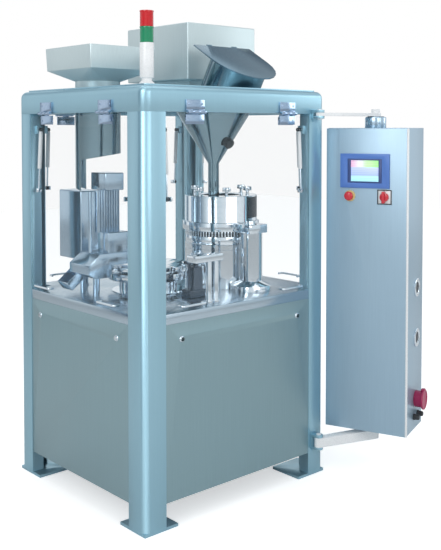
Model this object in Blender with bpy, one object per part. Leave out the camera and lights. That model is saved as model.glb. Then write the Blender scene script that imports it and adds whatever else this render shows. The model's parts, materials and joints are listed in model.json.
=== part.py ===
"""Hard capsule filling machine: a four-post frame with flip-up doors over a dosing table.

The machine frame has X to the right along the front, Y to the rear and Z up, with zero at the
outer corner of the front left post. One empty carries the whole model and stands it on the origin.
"""
import math

import bmesh
import bpy
from mathutils import Matrix, Vector

for leftover in list(bpy.data.objects):
    bpy.data.objects.remove(leftover, do_unlink=True)

# Fits
GAP = 0.0003
MERGE = 0.00001
OVERLAP = 0.001

# Facets round a large ring, a middling one, a column, a rod and a pin
LARGE = 24
MIDDLE = 20
SMALL = 10
TINY = 8
LEAST = 6

# Body
WIDTH = 1.02
DEPTH = 0.95
POST_WIDTH = 0.105
POST_ROUND = 0.038
POST_RETURN = 0.055
POST_WALL = 0.004
FOOT_WIDTH = 0.165
FOOT_THICK = 0.012
BEAM_BOTTOM = 1.63
BEAM_HEIGHT = 0.1
BEAM_DEPTH = 0.062
BEAM_ROUND = 0.03
DECK_THICK = 0.006
DECK_INSET = 0.032
TABLE_TOP = 0.846
TABLE_THICK = 0.041
TABLE_PLATE = 0.014
TABLE_INSET = 0.001
PANEL_BOTTOM = 0.105
PANEL_INSET = 0.002
PANEL_WALL = 0.0015
RAIL_WIDTH = 0.04
RAIL_HEIGHT = 0.04
PAN_THICK = 0.004
LOCK_FROM_CORNER = 0.183
LOCK_HEIGHT = 0.74
LOCK_RADIUS = 0.012
LOCK_OUT = 0.009

# Flip-up doors
HINGE_OUT = 0.012
HINGE_FROM_CORNER = 0.25
HINGE_LENGTH = 0.094
HINGE_LEAF = 0.048
HINGE_THICK = 0.006
KNUCKLE_RADIUS = 0.0075
HINGE_PIN_RADIUS = 0.003
HINGE_FIT = 0.0004
KNUCKLE_CLEAR = 0.002
PANE_THICK = 0.006
PANE_BEHIND_FACE = 0.003
PANE_EDGE_GAP = 0.002
PANE_TOP_DROP = 0.009
PANE_TABLE_GAP = 0.003
HANDLE_FROM_CORNER = 0.23
HANDLE_LENGTH = 0.13
HANDLE_ABOVE_TABLE = 0.026
HANDLE_OUT = 0.026
HANDLE_RADIUS = 0.005
HANDLE_BEND = 0.009

# Gas struts, two to a door
STRUT_PIVOT_BEHIND = 0.04
STRUT_PIVOT_DROP = 0.07
STRUT_STUD_BEHIND = 0.026
STRUT_STUD_DROP = 0.34
STRUT_FROM_POST = 0.026
STRUT_EYE_RADIUS = 0.009
STRUT_EYE_THICK = 0.012
STRUT_TUBE_RADIUS = 0.009
STRUT_TUBE_LENGTH = 0.165
STRUT_ROD_RADIUS = 0.004
STRUT_STUD_WIDTH = 0.008
STRUT_BRACKET_HEIGHT = 0.036
STRUT_BOSS_RADIUS = 0.006

# Signal tower, on the deck over the front left post
TOWER_AT = (0.0635, 0.0635)
TOWER_RADIUS = 0.0275
TOWER_BODY_HEIGHT = 0.157
LENS_HEIGHT = 0.056
LENS_RING = 0.005

# Capsule hopper and chute
CHUTE_AT = (0.212, 0.622)
CHUTE_RADIUS = 0.1
CHUTE_WALL = 0.002
CHUTE_LOW = 1.29
CHUTE_CUT_LEFT = 1.428
CHUTE_CUT_RIGHT = 1.472
HOPPER_WALL = 0.003
HOPPER_SIZE = (0.33, 0.355)
HOPPER_OFFSET = (0.013, 0.0)
HOPPER_RIM_BOTTOM = 1.82
HOPPER_RIM_TOP = 1.918
HOPPER_FLARE = 0.006
HOPPER_NECK_TOP = 1.772

# Capsule feeder
MAGAZINE_LOW = 1.118
MAGAZINE_TRAVEL = 0.025
MAGAZINE_BOX = ((0.1625, 0.4897, 1.298), (0.2575, 0.606, 1.373))
MAGAZINE_PLATE_X = (0.135, 0.24)
MAGAZINE_PLATE_Y = (0.5, 0.535)
MAGAZINE_CHANNELS = 8
CHANNEL_WIDTH = 0.006
CHANNEL_DEPTH = 0.005
FEEDER_Y = (0.47, 0.62)
FEEDER_TOP = 1.028
FEEDER_BOTTOM = 0.925
FEEDER_OVERHANG = 0.976
COLUMN_RADIUS = 0.012
GUIDE_ROD_AT = (0.122, 0.552)
GUIDE_ROD_RADIUS = 0.008
GUIDE_ROD_TOP = 1.292

# Boxes above and behind
REAR_HOUSING = ((0.587, 0.45, 1.79), (1.012, 0.919, 2.0515))
PLINTH_INSET = 0.045
SORTER_BOX = ((0.186, 0.723, 0.969), (0.3, 0.91, 1.282))

# Powder hopper
CONE_AT = (0.679, 0.377)
CONE_OUTLET_RADIUS = 0.025
CONE_OUTLET_BOTTOM = 1.235
CONE_LOW = 1.406
CONE_HIGH = 1.655
CONE_RADIUS = 0.18
TUBE_FOOT = (0.679, 0.2817, 1.715)
TUBE_RADIUS = 0.128
TUBE_LEAN = math.radians(30)
TUBE_LENGTH = 0.166
LID_WIDTH = 0.335
LID_THICK = 0.006
LID_BEHIND = 0.016
SENSOR_HEIGHT = 1.508
SENSOR_RADIUS = 0.023
SENSOR_LENGTH = 0.034

# Dosing station
DOSING_AT = (0.73, 0.384)
DRUM_RADIUS = 0.166
DRUM_TOP = 1.045
DRUM_SEAM = 1.022
DISC_TOP = 1.0797
DISC_FLOOR = 0.012
DOSING_BORES = 10
DOSING_BORE_RADIUS = 0.005
DOSING_SHAFT_RADIUS = 0.025
FLANGE_BOTTOM = 1.1045
FLANGE_TOP = 1.144
FLANGE_RADIUS = 0.177
FLANGE_BORE = 0.088
HEAD_TOP = 1.261
HEAD_WALL = 0.006
HEAD_LIFT = 0.03
TEETH = 36
TOOTH_DEPTH = 0.01
KNOBS = 6
KNOB_CIRCLE = 0.128
KNOB_RADIUS = 0.019
KNOB_LOBE = 0.25
KNOB_STEM = 0.02
KNOB_HEIGHT = 0.02

# Guide pillar
PILLAR_AT = (0.71, 0.162)
PILLAR_RADIUS = 0.051
PILLAR_BASE_RADIUS = 0.0895
PILLAR_BASE_TOP = 0.874
PILLAR_FLARE_TOP = 0.892
PILLAR_SOCKET = 0.004
PILLAR_LUG = 0.004
GUIDE_RADIUS = 0.02
SUPPORT_COLUMNS = ((0.702, 0.598), (0.7634, 0.5786))
SUPPORT_RADIUS = 0.0155

# Turret
TURRET_AT = (0.38, 0.48)
TURRET_RADIUS = 0.178
TURRET_NECK = 0.135
TURRET_LOW = 0.9035
TURRET_LOW_TOP = 0.9347
TURRET_HIGH = 0.948
TURRET_TOP = 0.9637
TURRET_SHAFT_RADIUS = 0.03
TURRET_BASE_RADIUS = 0.13
TURRET_BASE_TOP = 0.895
STATIONS = 12
NOTCH_WIDTH = 0.03
NOTCH_DEPTH = 0.022

# Stations on the table
CLOSING_RODS = ((0.366, 0.05), (0.404, 0.05))
CLOSING_ROD_RADIUS = 0.013
CLOSING_BLOCK = ((0.272, 0.022, 1.024), (0.421, 0.078, 1.054))
EJECTOR_AT = (0.42, 0.21)

# Drive in the base
MOTOR_AT = (0.3, 0.25)
MOTOR_RADIUS = 0.07
MOTOR_LENGTH = 0.22
CAMSHAFT_Y = 0.55
CAMSHAFT_Z = 0.4
CAMSHAFT_X = (0.2, 0.84)
CAMSHAFT_RADIUS = 0.018
CAM_RADIUS = 0.075
CAM_ECCENTRIC = 0.014
PEDESTAL_THICK = 0.03
PEDESTAL_CAP = 0.05
INDEX_BOX_DROP = 0.16

# Control cabinet on its swing arm
ARM_HINGE = (0.945, -0.035)
CABINET_AT = (1.224, -0.124)
CABINET_YAW = math.radians(-69.7)
CABINET_WIDTH = 0.375
CABINET_DEPTH = 0.258
CABINET_LOW = 0.204
CABINET_TOP = 1.568
CABINET_WALL = 0.002
CABINET_DOOR_THICK = 0.02
ARM_WIDTH = 0.05
UPPER_ARM = (1.6213, 1.6353)
LOWER_ARM = (0.138, 0.18)
ARM_PIN_RADIUS = 0.011
PIN_FIT = 0.0004
LUG_RADIUS = 0.02
LUG_THICK = 0.012
LUG_WEB = 0.014
LUG_BEFORE_FACE = 0.0005
PIVOT_RADIUS = 0.048
PIVOT_PIN_RADIUS = 0.02
PIVOT_COLLAR_RADIUS = 0.034
SCREEN_CENTRE = (-0.005, 1.377)
SCREEN_SIZE = (0.227, 0.153)
SCREEN_OUT = 0.009
STOP_AT = (-0.075, 1.264)
STOP_RADIUS = 0.02
STOP_TRAVEL = 0.005
SWITCH_AT = (0.086, 1.263)
SWITCH_SIZE = 0.065
INLET_HEIGHT = 0.34
INLET_RADIUS = 0.046
INLET_OUT = 0.045
CAP_RADIUS = 0.042
CAP_HEIGHTS = (0.848, 0.62)
GLAND_HEIGHT = 0.264
SIDE_FITTINGS_Y = 0.026

BEAM_TOP = BEAM_BOTTOM + BEAM_HEIGHT
DECK_BOTTOM = BEAM_TOP + GAP
DECK_TOP = DECK_BOTTOM + DECK_THICK
TABLE_BOTTOM = TABLE_TOP - TABLE_THICK
RAIL_INSET = POST_RETURN + GAP

SIDES = {
    "front": (WIDTH, 0, (WIDTH / 2, 0)),
    "right": (DEPTH, 90, (WIDTH, DEPTH / 2)),
    "rear": (WIDTH, 180, (WIDTH / 2, DEPTH)),
    "left": (DEPTH, 270, (0, DEPTH / 2)),
}
CORNERS = {
    "front_left": (0, (0, 0)),
    "front_right": (90, (WIDTH, 0)),
    "rear_right": (180, (WIDTH, DEPTH)),
    "rear_left": (270, (0, DEPTH)),
}


def moved(x, y, z=0.0):
    return Matrix.Translation((x, y, z))


def turned_by(degrees, axis="Z"):
    return Matrix.Rotation(math.radians(degrees), 4, axis)


ALONG = Matrix(((0, 0, 1, 0), (1, 0, 0, 0), (0, 1, 0, 0), (0, 0, 0, 1)))


def side_frame(side):
    """Local X runs along the side, local -Y points out of the machine."""
    _, degrees, (x, y) = SIDES[side]
    return moved(x, y) @ turned_by(degrees)


def as_mesh(bm, at):
    """Close, orient and place a shape, and hand it over as mesh data."""
    bmesh.ops.remove_doubles(bm, verts=bm.verts, dist=MERGE)
    bmesh.ops.recalc_face_normals(bm, faces=bm.faces)
    bmesh.ops.transform(bm, matrix=at, verts=bm.verts)
    mesh = bpy.data.meshes.new("shape")
    bm.to_mesh(mesh)
    bm.free()
    return mesh


def block(low, high, at=Matrix(), edge=0.0, steps=1):
    """A box between two corners, with its edges rounded if edge is given."""
    size = [b - a for a, b in zip(low, high)]
    middle = [(a + b) / 2 for a, b in zip(low, high)]
    bm = bmesh.new()
    shape = Matrix.Translation(middle) @ Matrix.Diagonal((*size, 1))
    bmesh.ops.create_cube(bm, size=1, matrix=shape)
    if edge:
        bmesh.ops.bevel(bm, geom=bm.edges[:], offset=edge, segments=steps, affect="EDGES", profile=0.5)
    return as_mesh(bm, at)


def tray(low, high, toward, wall, floor, at=Matrix()):
    """A box hollowed from one side; toward is the direction in which it is open."""
    size = [b - a for a, b in zip(low, high)]
    middle = [(a + b) / 2 for a, b in zip(low, high)]
    bm = bmesh.new()
    shape = Matrix.Translation(middle) @ Matrix.Diagonal((*size, 1))
    bmesh.ops.create_cube(bm, size=1, matrix=shape)
    direction = Vector(toward)
    depth = sum(abs(d) * s for d, s in zip(direction, size)) - floor
    bm.normal_update()
    mouth = [face for face in bm.faces if face.normal.dot(direction) > 0.9]
    bmesh.ops.inset_region(bm, faces=mouth, thickness=wall, use_even_offset=True)
    pushed = bmesh.ops.extrude_face_region(bm, geom=mouth)
    verts = [item for item in pushed["geom"] if isinstance(item, bmesh.types.BMVert)]
    bmesh.ops.delete(bm, geom=[face for face in mouth if face.is_valid], context="FACES")
    bmesh.ops.translate(bm, verts=verts, vec=-direction * depth)
    return as_mesh(bm, at)


def prism(outline, low, high, at=Matrix()):
    """An outline in the XY plane, extruded from low to high."""
    bm = bmesh.new()
    face = bm.faces.new([bm.verts.new((x, y, low)) for x, y in outline])
    pushed = bmesh.ops.extrude_face_region(bm, geom=[face], use_keep_orig=True)
    verts = [item for item in pushed["geom"] if isinstance(item, bmesh.types.BMVert)]
    bmesh.ops.translate(bm, verts=verts, vec=(0, 0, high - low))
    return as_mesh(bm, at)


def lathe(profile, at=Matrix(), sides=MIDDLE, ring=False):
    """A profile of (radius, height) spun about Z; a ring profile closes on itself."""
    bm = bmesh.new()
    corners = [bm.verts.new((radius, 0, height)) for radius, height in profile]
    edges = [bm.edges.new(pair) for pair in zip(corners, corners[1:])]
    if ring:
        edges.append(bm.edges.new((corners[-1], corners[0])))
    bmesh.ops.spin(bm, geom=corners + edges, cent=(0, 0, 0), axis=(0, 0, 1),
                   angle=math.tau, steps=sides, use_merge=True)
    return as_mesh(bm, at)


def rod(start, end, radius, sides=SMALL, at=Matrix()):
    """A round bar between two points."""
    start, end = Vector(start), Vector(end)
    along = end - start
    turn = Vector((0, 0, 1)).rotation_difference(along).to_matrix().to_4x4()
    bm = bmesh.new()
    bmesh.ops.create_cone(bm, cap_ends=True, segments=sides, radius1=radius, radius2=radius,
                          depth=along.length, matrix=Matrix.Translation((start + end) / 2) @ turn)
    return as_mesh(bm, at)


def loft(loops, at=Matrix(), ring=False):
    """Loops of equal length joined in order, capped at both ends or closed into a ring."""
    bm = bmesh.new()
    rows = [[bm.verts.new(point) for point in loop] for loop in loops]
    pairs = list(zip(rows, rows[1:]))
    if ring:
        pairs.append((rows[-1], rows[0]))
    count = len(rows[0])
    for one, two in pairs:
        for i in range(count):
            j = (i + 1) % count
            bm.faces.new((one[i], one[j], two[j], two[i]))
    if not ring:
        bm.faces.new(rows[0])
        bm.faces.new(rows[-1])
    return as_mesh(bm, at)


def swept(path, radius, sides=LEAST, at=Matrix()):
    """A round bar bent along a path in one plane."""
    points = [Vector(point) for point in path]
    plane = (points[1] - points[0]).cross(points[-1] - points[0]).normalized()
    loops = []
    for i, point in enumerate(points):
        before = points[max(i - 1, 0)]
        after = points[min(i + 1, len(points) - 1)]
        across = plane.cross((after - before).normalized())
        angles = [math.tau * k / sides for k in range(sides)]
        loops.append([point + radius * (math.cos(a) * plane + math.sin(a) * across) for a in angles])
    return loft(loops, at)


def arc(centre, radius, start, end, steps):
    """Points along an arc, angles in degrees."""
    points = []
    for i in range(steps + 1):
        angle = math.radians(start + (end - start) * i / steps)
        points.append((centre[0] + radius * math.cos(angle), centre[1] + radius * math.sin(angle)))
    return points


def rounded(low, high, radius, steps=4):
    """A rectangle with round corners, counter-clockwise."""
    (x0, y0), (x1, y1) = low, high
    r = max(radius, MERGE * 20)
    return (arc((x1 - r, y0 + r), r, -90, 0, steps) + arc((x1 - r, y1 - r), r, 0, 90, steps)
            + arc((x0 + r, y1 - r), r, 90, 180, steps) + arc((x0 + r, y0 + r), r, 180, 270, steps))


def at_height(outline, height):
    return [(x, y, height) for x, y in outline]


FINISHES = {
    "painted_blue": ((0.21, 0.40, 0.52, 1), 0.38, 0.1),
    "brushed_panel": ((0.33, 0.42, 0.44, 1), 0.42, 0.7),
    "polished_steel": ((0.78, 0.80, 0.82, 1), 0.16, 1.0),
    "satin_steel": ((0.55, 0.62, 0.65, 1), 0.32, 0.9),
    "pale_steel": ((0.62, 0.70, 0.72, 1), 0.4, 0.6),
    "dark_steel": ((0.08, 0.09, 0.11, 1), 0.45, 0.6),
    "cast_iron": ((0.16, 0.20, 0.22, 1), 0.6, 0.4),
    "clear_acrylic": ((0.85, 0.93, 0.96, 0.2), 0.05, 0.0),
    "cabinet_steel": ((0.36, 0.50, 0.60, 1), 0.36, 0.5),
    "white_plastic": ((0.85, 0.86, 0.87, 1), 0.4, 0.0),
    "red_lens": ((0.75, 0.02, 0.05, 1), 0.12, 0.0),
    "green_lens": ((0.01, 0.40, 0.16, 1), 0.12, 0.0),
    "blue_plastic": ((0.10, 0.22, 0.62, 1), 0.35, 0.0),
    "red_plastic": ((0.62, 0.02, 0.05, 1), 0.35, 0.0),
}


def finish_named(name):
    """One material with the finish's colour, roughness and metallic value."""
    colour, roughness, metallic = FINISHES[name]
    material = bpy.data.materials.get(name)
    if material is None:
        material = bpy.data.materials.new(name)
        material.use_nodes = True
        shader = material.node_tree.nodes["Principled BSDF"]
        shader.inputs["Base Color"].default_value = colour
        shader.inputs["Roughness"].default_value = roughness
        shader.inputs["Metallic"].default_value = metallic
        shader.inputs["Alpha"].default_value = colour[3]
    return material


def gather(name, shapes, parent, at=Matrix()):
    """Put shapes that don't touch into one object under its parent."""
    bm = bmesh.new()
    for shape in shapes:
        bm.from_mesh(shape)
        bpy.data.meshes.remove(shape)
    mesh = bpy.data.meshes.new(name)
    bm.to_mesh(mesh)
    bm.free()
    obj = bpy.data.objects.new(name, mesh)
    bpy.context.scene.collection.objects.link(obj)
    obj.parent = parent
    obj.matrix_basis = at
    return obj


def piece(name, shapes, finish, parent, at=Matrix(), sharp=35):
    """A named sub-part with its own finish, shaded smooth between its sharp edges."""
    obj = gather(name, shapes, parent, at)
    obj.data.shade_smooth()
    obj.data.set_sharp_from_angle(angle=math.radians(sharp))
    material = finish_named(finish).copy()
    material.name = name
    obj.data.materials.append(material)
    return obj


def boolean(obj, shapes, operation):
    """Join or cut an object with shapes; the tool object is hidden from the render."""
    tool = gather(obj.name + "_" + operation.lower() + str(len(obj.modifiers)), shapes,
                  obj.parent, obj.matrix_basis)
    tool.hide_render = True
    tool.display_type = "WIRE"
    step = obj.modifiers.new(operation.lower(), "BOOLEAN")
    step.operation = operation
    step.solver = "EXACT"
    step.object = tool


def join(obj, *shapes):
    boolean(obj, shapes, "UNION")


def cut(obj, *shapes):
    boolean(obj, shapes, "DIFFERENCE")


def pivot(name, parent, at):
    """An empty on a joint's axis, which carries the pieces that move with it."""
    empty = bpy.data.objects.new(name, None)
    bpy.context.scene.collection.objects.link(empty)
    empty.empty_display_size = 0.05
    empty.parent = parent
    empty.matrix_basis = at
    return empty


def post_section():
    """The folded post in plan, its round corner at zero and its returns turned inward."""
    w, r, t, lip = POST_WIDTH, POST_ROUND, POST_WALL, POST_RETURN
    outer = [(lip, w), (0, w)] + arc((r, r), r, 180, 270, 5) + [(w, 0), (w, lip)]
    inner = [(w - t, lip), (w - t, t)] + arc((r, r), r - t, 270, 180, 5) + [(t, w - t), (lip, w - t)]
    return outer + inner


def arm_clevis(low, high):
    """A fork that stands before the front right post and holds one end of a swing arm."""
    x, y = ARM_HINGE
    back = -LUG_BEFORE_FACE
    lugs = []
    for bottom, top in ((low - GAP - LUG_THICK, low - GAP), (high + GAP, high + GAP + LUG_THICK)):
        outline = [(x + LUG_RADIUS, back), (x - LUG_RADIUS, back)] + arc((x, y), LUG_RADIUS, 180, 360, 4)
        lugs.append(prism(outline, bottom, top))
    bottom, top = low - LUG_THICK - OVERLAP, high + LUG_THICK - OVERLAP
    web = block((x - LUG_RADIUS + OVERLAP, -LUG_WEB, bottom),
                (x + LUG_RADIUS - OVERLAP, back - OVERLAP / 2, top))
    pad = block((x - LUG_RADIUS / 2, -LUG_WEB / 2, bottom - LUG_THICK),
                (x + LUG_RADIUS / 2, POST_WALL / 2, min(top, BEAM_BOTTOM - LUG_THICK / 2)))
    return lugs, web, pad


def strut_brackets():
    """Both brackets on a post's returns, beside which the struts' eyes turn."""
    end = POST_WIDTH + STRUT_FROM_POST
    side_on = end - STRUT_TUBE_RADIUS - OVERLAP
    near, far = STRUT_PIVOT_BEHIND - 0.014, STRUT_PIVOT_BEHIND + 0.012
    z = BEAM_BOTTOM - STRUT_PIVOT_DROP
    low, high = z - STRUT_BRACKET_HEIGHT / 2, z + STRUT_BRACKET_HEIGHT / 2
    start, boss = POST_WIDTH - OVERLAP, end - STRUT_EYE_THICK / 2 - GAP
    plates = (block((start, near, low), (side_on, far, high)), block((near, start, low), (far, side_on, high)))
    behind, r = STRUT_PIVOT_BEHIND, STRUT_BOSS_RADIUS
    bosses = (rod((side_on - OVERLAP, behind, z), (boss, behind, z), r, LEAST),
              rod((behind, side_on - OVERLAP, z), (behind, boss, z), r, LEAST))
    return plates, bosses


def make_posts(root):
    for corner, (degrees, (x, y)) in CORNERS.items():
        at = moved(x, y) @ turned_by(degrees)
        column = prism(post_section(), FOOT_THICK / 2, BEAM_BOTTOM - GAP)
        post = piece("post_" + corner, [column], "painted_blue", root, at)
        inset = POST_WALL / 2
        join(post, block((inset, inset, 0), (FOOT_WIDTH, FOOT_WIDTH, FOOT_THICK)))
        for shapes in strut_brackets():
            join(post, *shapes)
        if corner == "front_right":
            back = at.inverted()
            for low, high in (UPPER_ARM, LOWER_ARM):
                lugs, web, pad = arm_clevis(low, high)
                bore = rod((*ARM_HINGE, low - 2 * LUG_THICK), (*ARM_HINGE, high + 2 * LUG_THICK),
                           ARM_PIN_RADIUS + PIN_FIT, 2 * TINY)
                for shape in (*lugs, web, pad, bore):
                    shape.transform(back)
                join(post, web)
                join(post, pad)
                join(post, *lugs)
                cut(post, bore)


def rect_ring(low, high, width):
    """A ring of square tube between two corners of a box."""
    loops = []
    for inset, z in ((0, low[2]), (0, high[2]), (width, high[2]), (width, low[2])):
        x0, y0, x1, y1 = low[0] + inset, low[1] + inset, high[0] - inset, high[1] - inset
        loops.append([(x0, y0, z), (x1, y0, z), (x1, y1, z), (x0, y1, z)])
    return loft(loops, ring=True)


def make_base(root):
    i = RAIL_INSET
    far = (WIDTH - i, DEPTH - i)
    top = TABLE_BOTTOM - GAP
    rings = [rect_ring((i, i, PANEL_BOTTOM), (*far, PANEL_BOTTOM + RAIL_HEIGHT), RAIL_WIDTH),
             rect_ring((i, i, top - RAIL_HEIGHT), (*far, top), RAIL_WIDTH)]
    frame = piece("base_frame", rings, "satin_steel", root)
    low, high = PANEL_BOTTOM + RAIL_HEIGHT - OVERLAP, top - RAIL_HEIGHT + OVERLAP
    near, wide = i + OVERLAP, RAIL_WIDTH - 2 * OVERLAP
    uprights = []
    for x in (near, WIDTH - near - wide):
        for y in (near, DEPTH - near - wide):
            uprights.append(block((x, y, low), (x + wide, y + wide, high)))
    join(frame, *uprights)
    inner = i + RAIL_WIDTH - OVERLAP
    pan_low = PANEL_BOTTOM + RAIL_HEIGHT / 2
    floor = pan_low + PAN_THICK
    join(frame, block((inner, inner, pan_low), (WIDTH - inner, DEPTH - inner, floor)))
    y, top = CAMSHAFT_Y, CAMSHAFT_Z + PEDESTAL_CAP
    outline = [(y - 0.07, floor - OVERLAP), (y + 0.07, floor - OVERLAP), (y + 0.045, top - 0.02),
               (y + 0.02, top), (y - 0.02, top), (y - 0.045, top - 0.02)]
    pedestals = []
    for x in (CAMSHAFT_X[0] + 0.03, CAMSHAFT_X[1] - 0.06):
        turn = Matrix(((0, 0, 1, x), (1, 0, 0, 0), (0, 1, 0, 0), (0, 0, 0, 1)))
        pedestals.append(prism(outline, 0, PEDESTAL_THICK, turn))
    join(frame, *pedestals)
    cut(frame, rod((CAMSHAFT_X[0], CAMSHAFT_Y, CAMSHAFT_Z), (CAMSHAFT_X[1], CAMSHAFT_Y, CAMSHAFT_Z),
                   CAMSHAFT_RADIUS + PIN_FIT, 16))
    return floor + GAP


def make_table(root):
    n = POST_WIDTH + GAP
    e = TABLE_INSET
    outline = [(n, e), (WIDTH - n, e), (WIDTH - n, n), (WIDTH - e, n), (WIDTH - e, DEPTH - n),
               (WIDTH - n, DEPTH - n), (WIDTH - n, DEPTH - e), (n, DEPTH - e), (n, DEPTH - n),
               (e, DEPTH - n), (e, n), (n, n)]
    table = piece("table_plate", [prism(outline, TABLE_BOTTOM, TABLE_TOP)], "satin_steel", root)
    rim = RAIL_INSET + RAIL_WIDTH + POST_WALL
    low, high = TABLE_BOTTOM - 0.01, TABLE_TOP + 0.01
    under = TABLE_TOP - TABLE_PLATE
    cut(table, block((rim, rim, low), (WIDTH - rim, DEPTH - rim, under)))
    boxes = []
    for (x, y), shaft in ((TURRET_AT, TURRET_SHAFT_RADIUS), (DOSING_AT, DOSING_SHAFT_RADIUS)):
        boxes.append(tray((x - 0.08, y - 0.09, under - INDEX_BOX_DROP), (x + 0.08, y + 0.09, under + OVERLAP),
                          (0, 0, 1), 0.08 - shaft - 0.012, INDEX_BOX_DROP / 2))
    join(table, *boxes)
    cut(table, rod((*TURRET_AT, low), (*TURRET_AT, high), TURRET_SHAFT_RADIUS + PIN_FIT, LARGE),
        rod((*DOSING_AT, low), (*DOSING_AT, high), DOSING_SHAFT_RADIUS + PIN_FIT, LARGE))


def knuckle_profile(face, way):
    """A hinge knuckle and its web in the YZ plane; way is 1 above the axis and -1 below it."""
    r = KNUCKLE_RADIUS
    front, back = face - HINGE_THICK + OVERLAP / 2, face - OVERLAP / 2
    top = way * (r + KNUCKLE_CLEAR + HINGE_THICK)
    if way > 0:
        return [(back, top), (front, top)] + arc((0, 0), r, 60, 345, 4)
    return [(back, top)] + arc((0, 0), r, -15, 240, 4) + [(front, top)]


def make_top_frame(root):
    """The beam ring: round at its corners and over its top outer edge."""
    def loop(inset, z):
        outline = rounded((inset, inset), (WIDTH - inset, DEPTH - inset), POST_ROUND - inset, 5)
        return at_height(outline, z)

    loops = [loop(0, BEAM_BOTTOM)]
    for inset, z in arc((BEAM_ROUND, BEAM_TOP - BEAM_ROUND), BEAM_ROUND, 180, 90, 3):
        loops.append(loop(inset, z))
    loops += [loop(BEAM_DEPTH, BEAM_TOP), loop(BEAM_DEPTH, BEAM_BOTTOM)]
    frame = piece("top_frame", [loft(loops, ring=True)], "painted_blue", root)
    half, knuckle = HINGE_LENGTH / 2, HINGE_LENGTH / 6
    plates, knuckles, pins = [], [], []
    for side, (width, _, _) in SIDES.items():
        for end in (-1, 1):
            at = side_frame(side) @ moved(end * (width / 2 - HINGE_FROM_CORNER), -HINGE_OUT, BEAM_BOTTOM)
            plates.append(block((-half, HINGE_OUT - HINGE_THICK, KNUCKLE_RADIUS + KNUCKLE_CLEAR),
                                (half, HINGE_OUT + OVERLAP, HINGE_LEAF), at))
            for way in (-1, 1):
                spans = sorted((way * knuckle, way * (half - OVERLAP)))
                knuckles.append(prism(knuckle_profile(HINGE_OUT, 1), *spans, at @ ALONG))
            reach = knuckle + OVERLAP
            pins.append(rod((-reach, 0, 0), (reach, 0, 0), HINGE_PIN_RADIUS, LEAST, at))
    join(frame, *plates)
    join(frame, *knuckles)
    join(frame, *pins)


def tube_frame():
    """Origin on the leaning tube's axis where it meets the cone's shoulder, Z along the tube."""
    return moved(*TUBE_FOOT) @ Matrix.Rotation(TUBE_LEAN, 4, "X")


def make_deck(root):
    i = DECK_INSET
    plate = prism(rounded((i, i), (WIDTH - i, DEPTH - i), 0.012, 3), DECK_BOTTOM, DECK_TOP)
    deck = piece("deck_plate", [plate], "painted_blue", root)
    hole = CHUTE_RADIUS - 0.01
    join(deck, *[rod((x, y, TABLE_TOP + GAP), (x, y, DECK_BOTTOM + OVERLAP), SUPPORT_RADIUS)
                 for x, y in SUPPORT_COLUMNS])
    cut(deck, rod((*CHUTE_AT, DECK_BOTTOM - 0.01), (*CHUTE_AT, DECK_TOP + 0.01), hole, MIDDLE),
        rod((0, 0, -TUBE_RADIUS), (0, 0, TUBE_RADIUS), TUBE_RADIUS + 2 * GAP, MIDDLE, tube_frame()))


def make_panels(root):
    for side, (width, _, _) in SIDES.items():
        half = width / 2 - POST_WIDTH - GAP
        low = (-half, PANEL_INSET, PANEL_BOTTOM)
        high = (half, POST_RETURN, TABLE_BOTTOM - GAP)
        shell = tray(low, high, (0, 1, 0), PANEL_WALL, PANEL_WALL)
        panel = piece("panel_" + side, [shell], "brushed_panel", root, side_frame(side))
        locks = []
        for end in (-1, 1):
            at = moved(end * (width / 2 - LOCK_FROM_CORNER), PANEL_INSET, LOCK_HEIGHT) @ turned_by(90, "X")
            profile = [(0, -OVERLAP), (LOCK_RADIUS, -OVERLAP), (LOCK_RADIUS, LOCK_OUT / 3),
                       (LOCK_RADIUS * 0.75, LOCK_OUT / 2), (LOCK_RADIUS * 0.75, LOCK_OUT), (0, LOCK_OUT)]
            locks.append(lathe(profile, at, TINY))
        join(panel, *locks)


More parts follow.
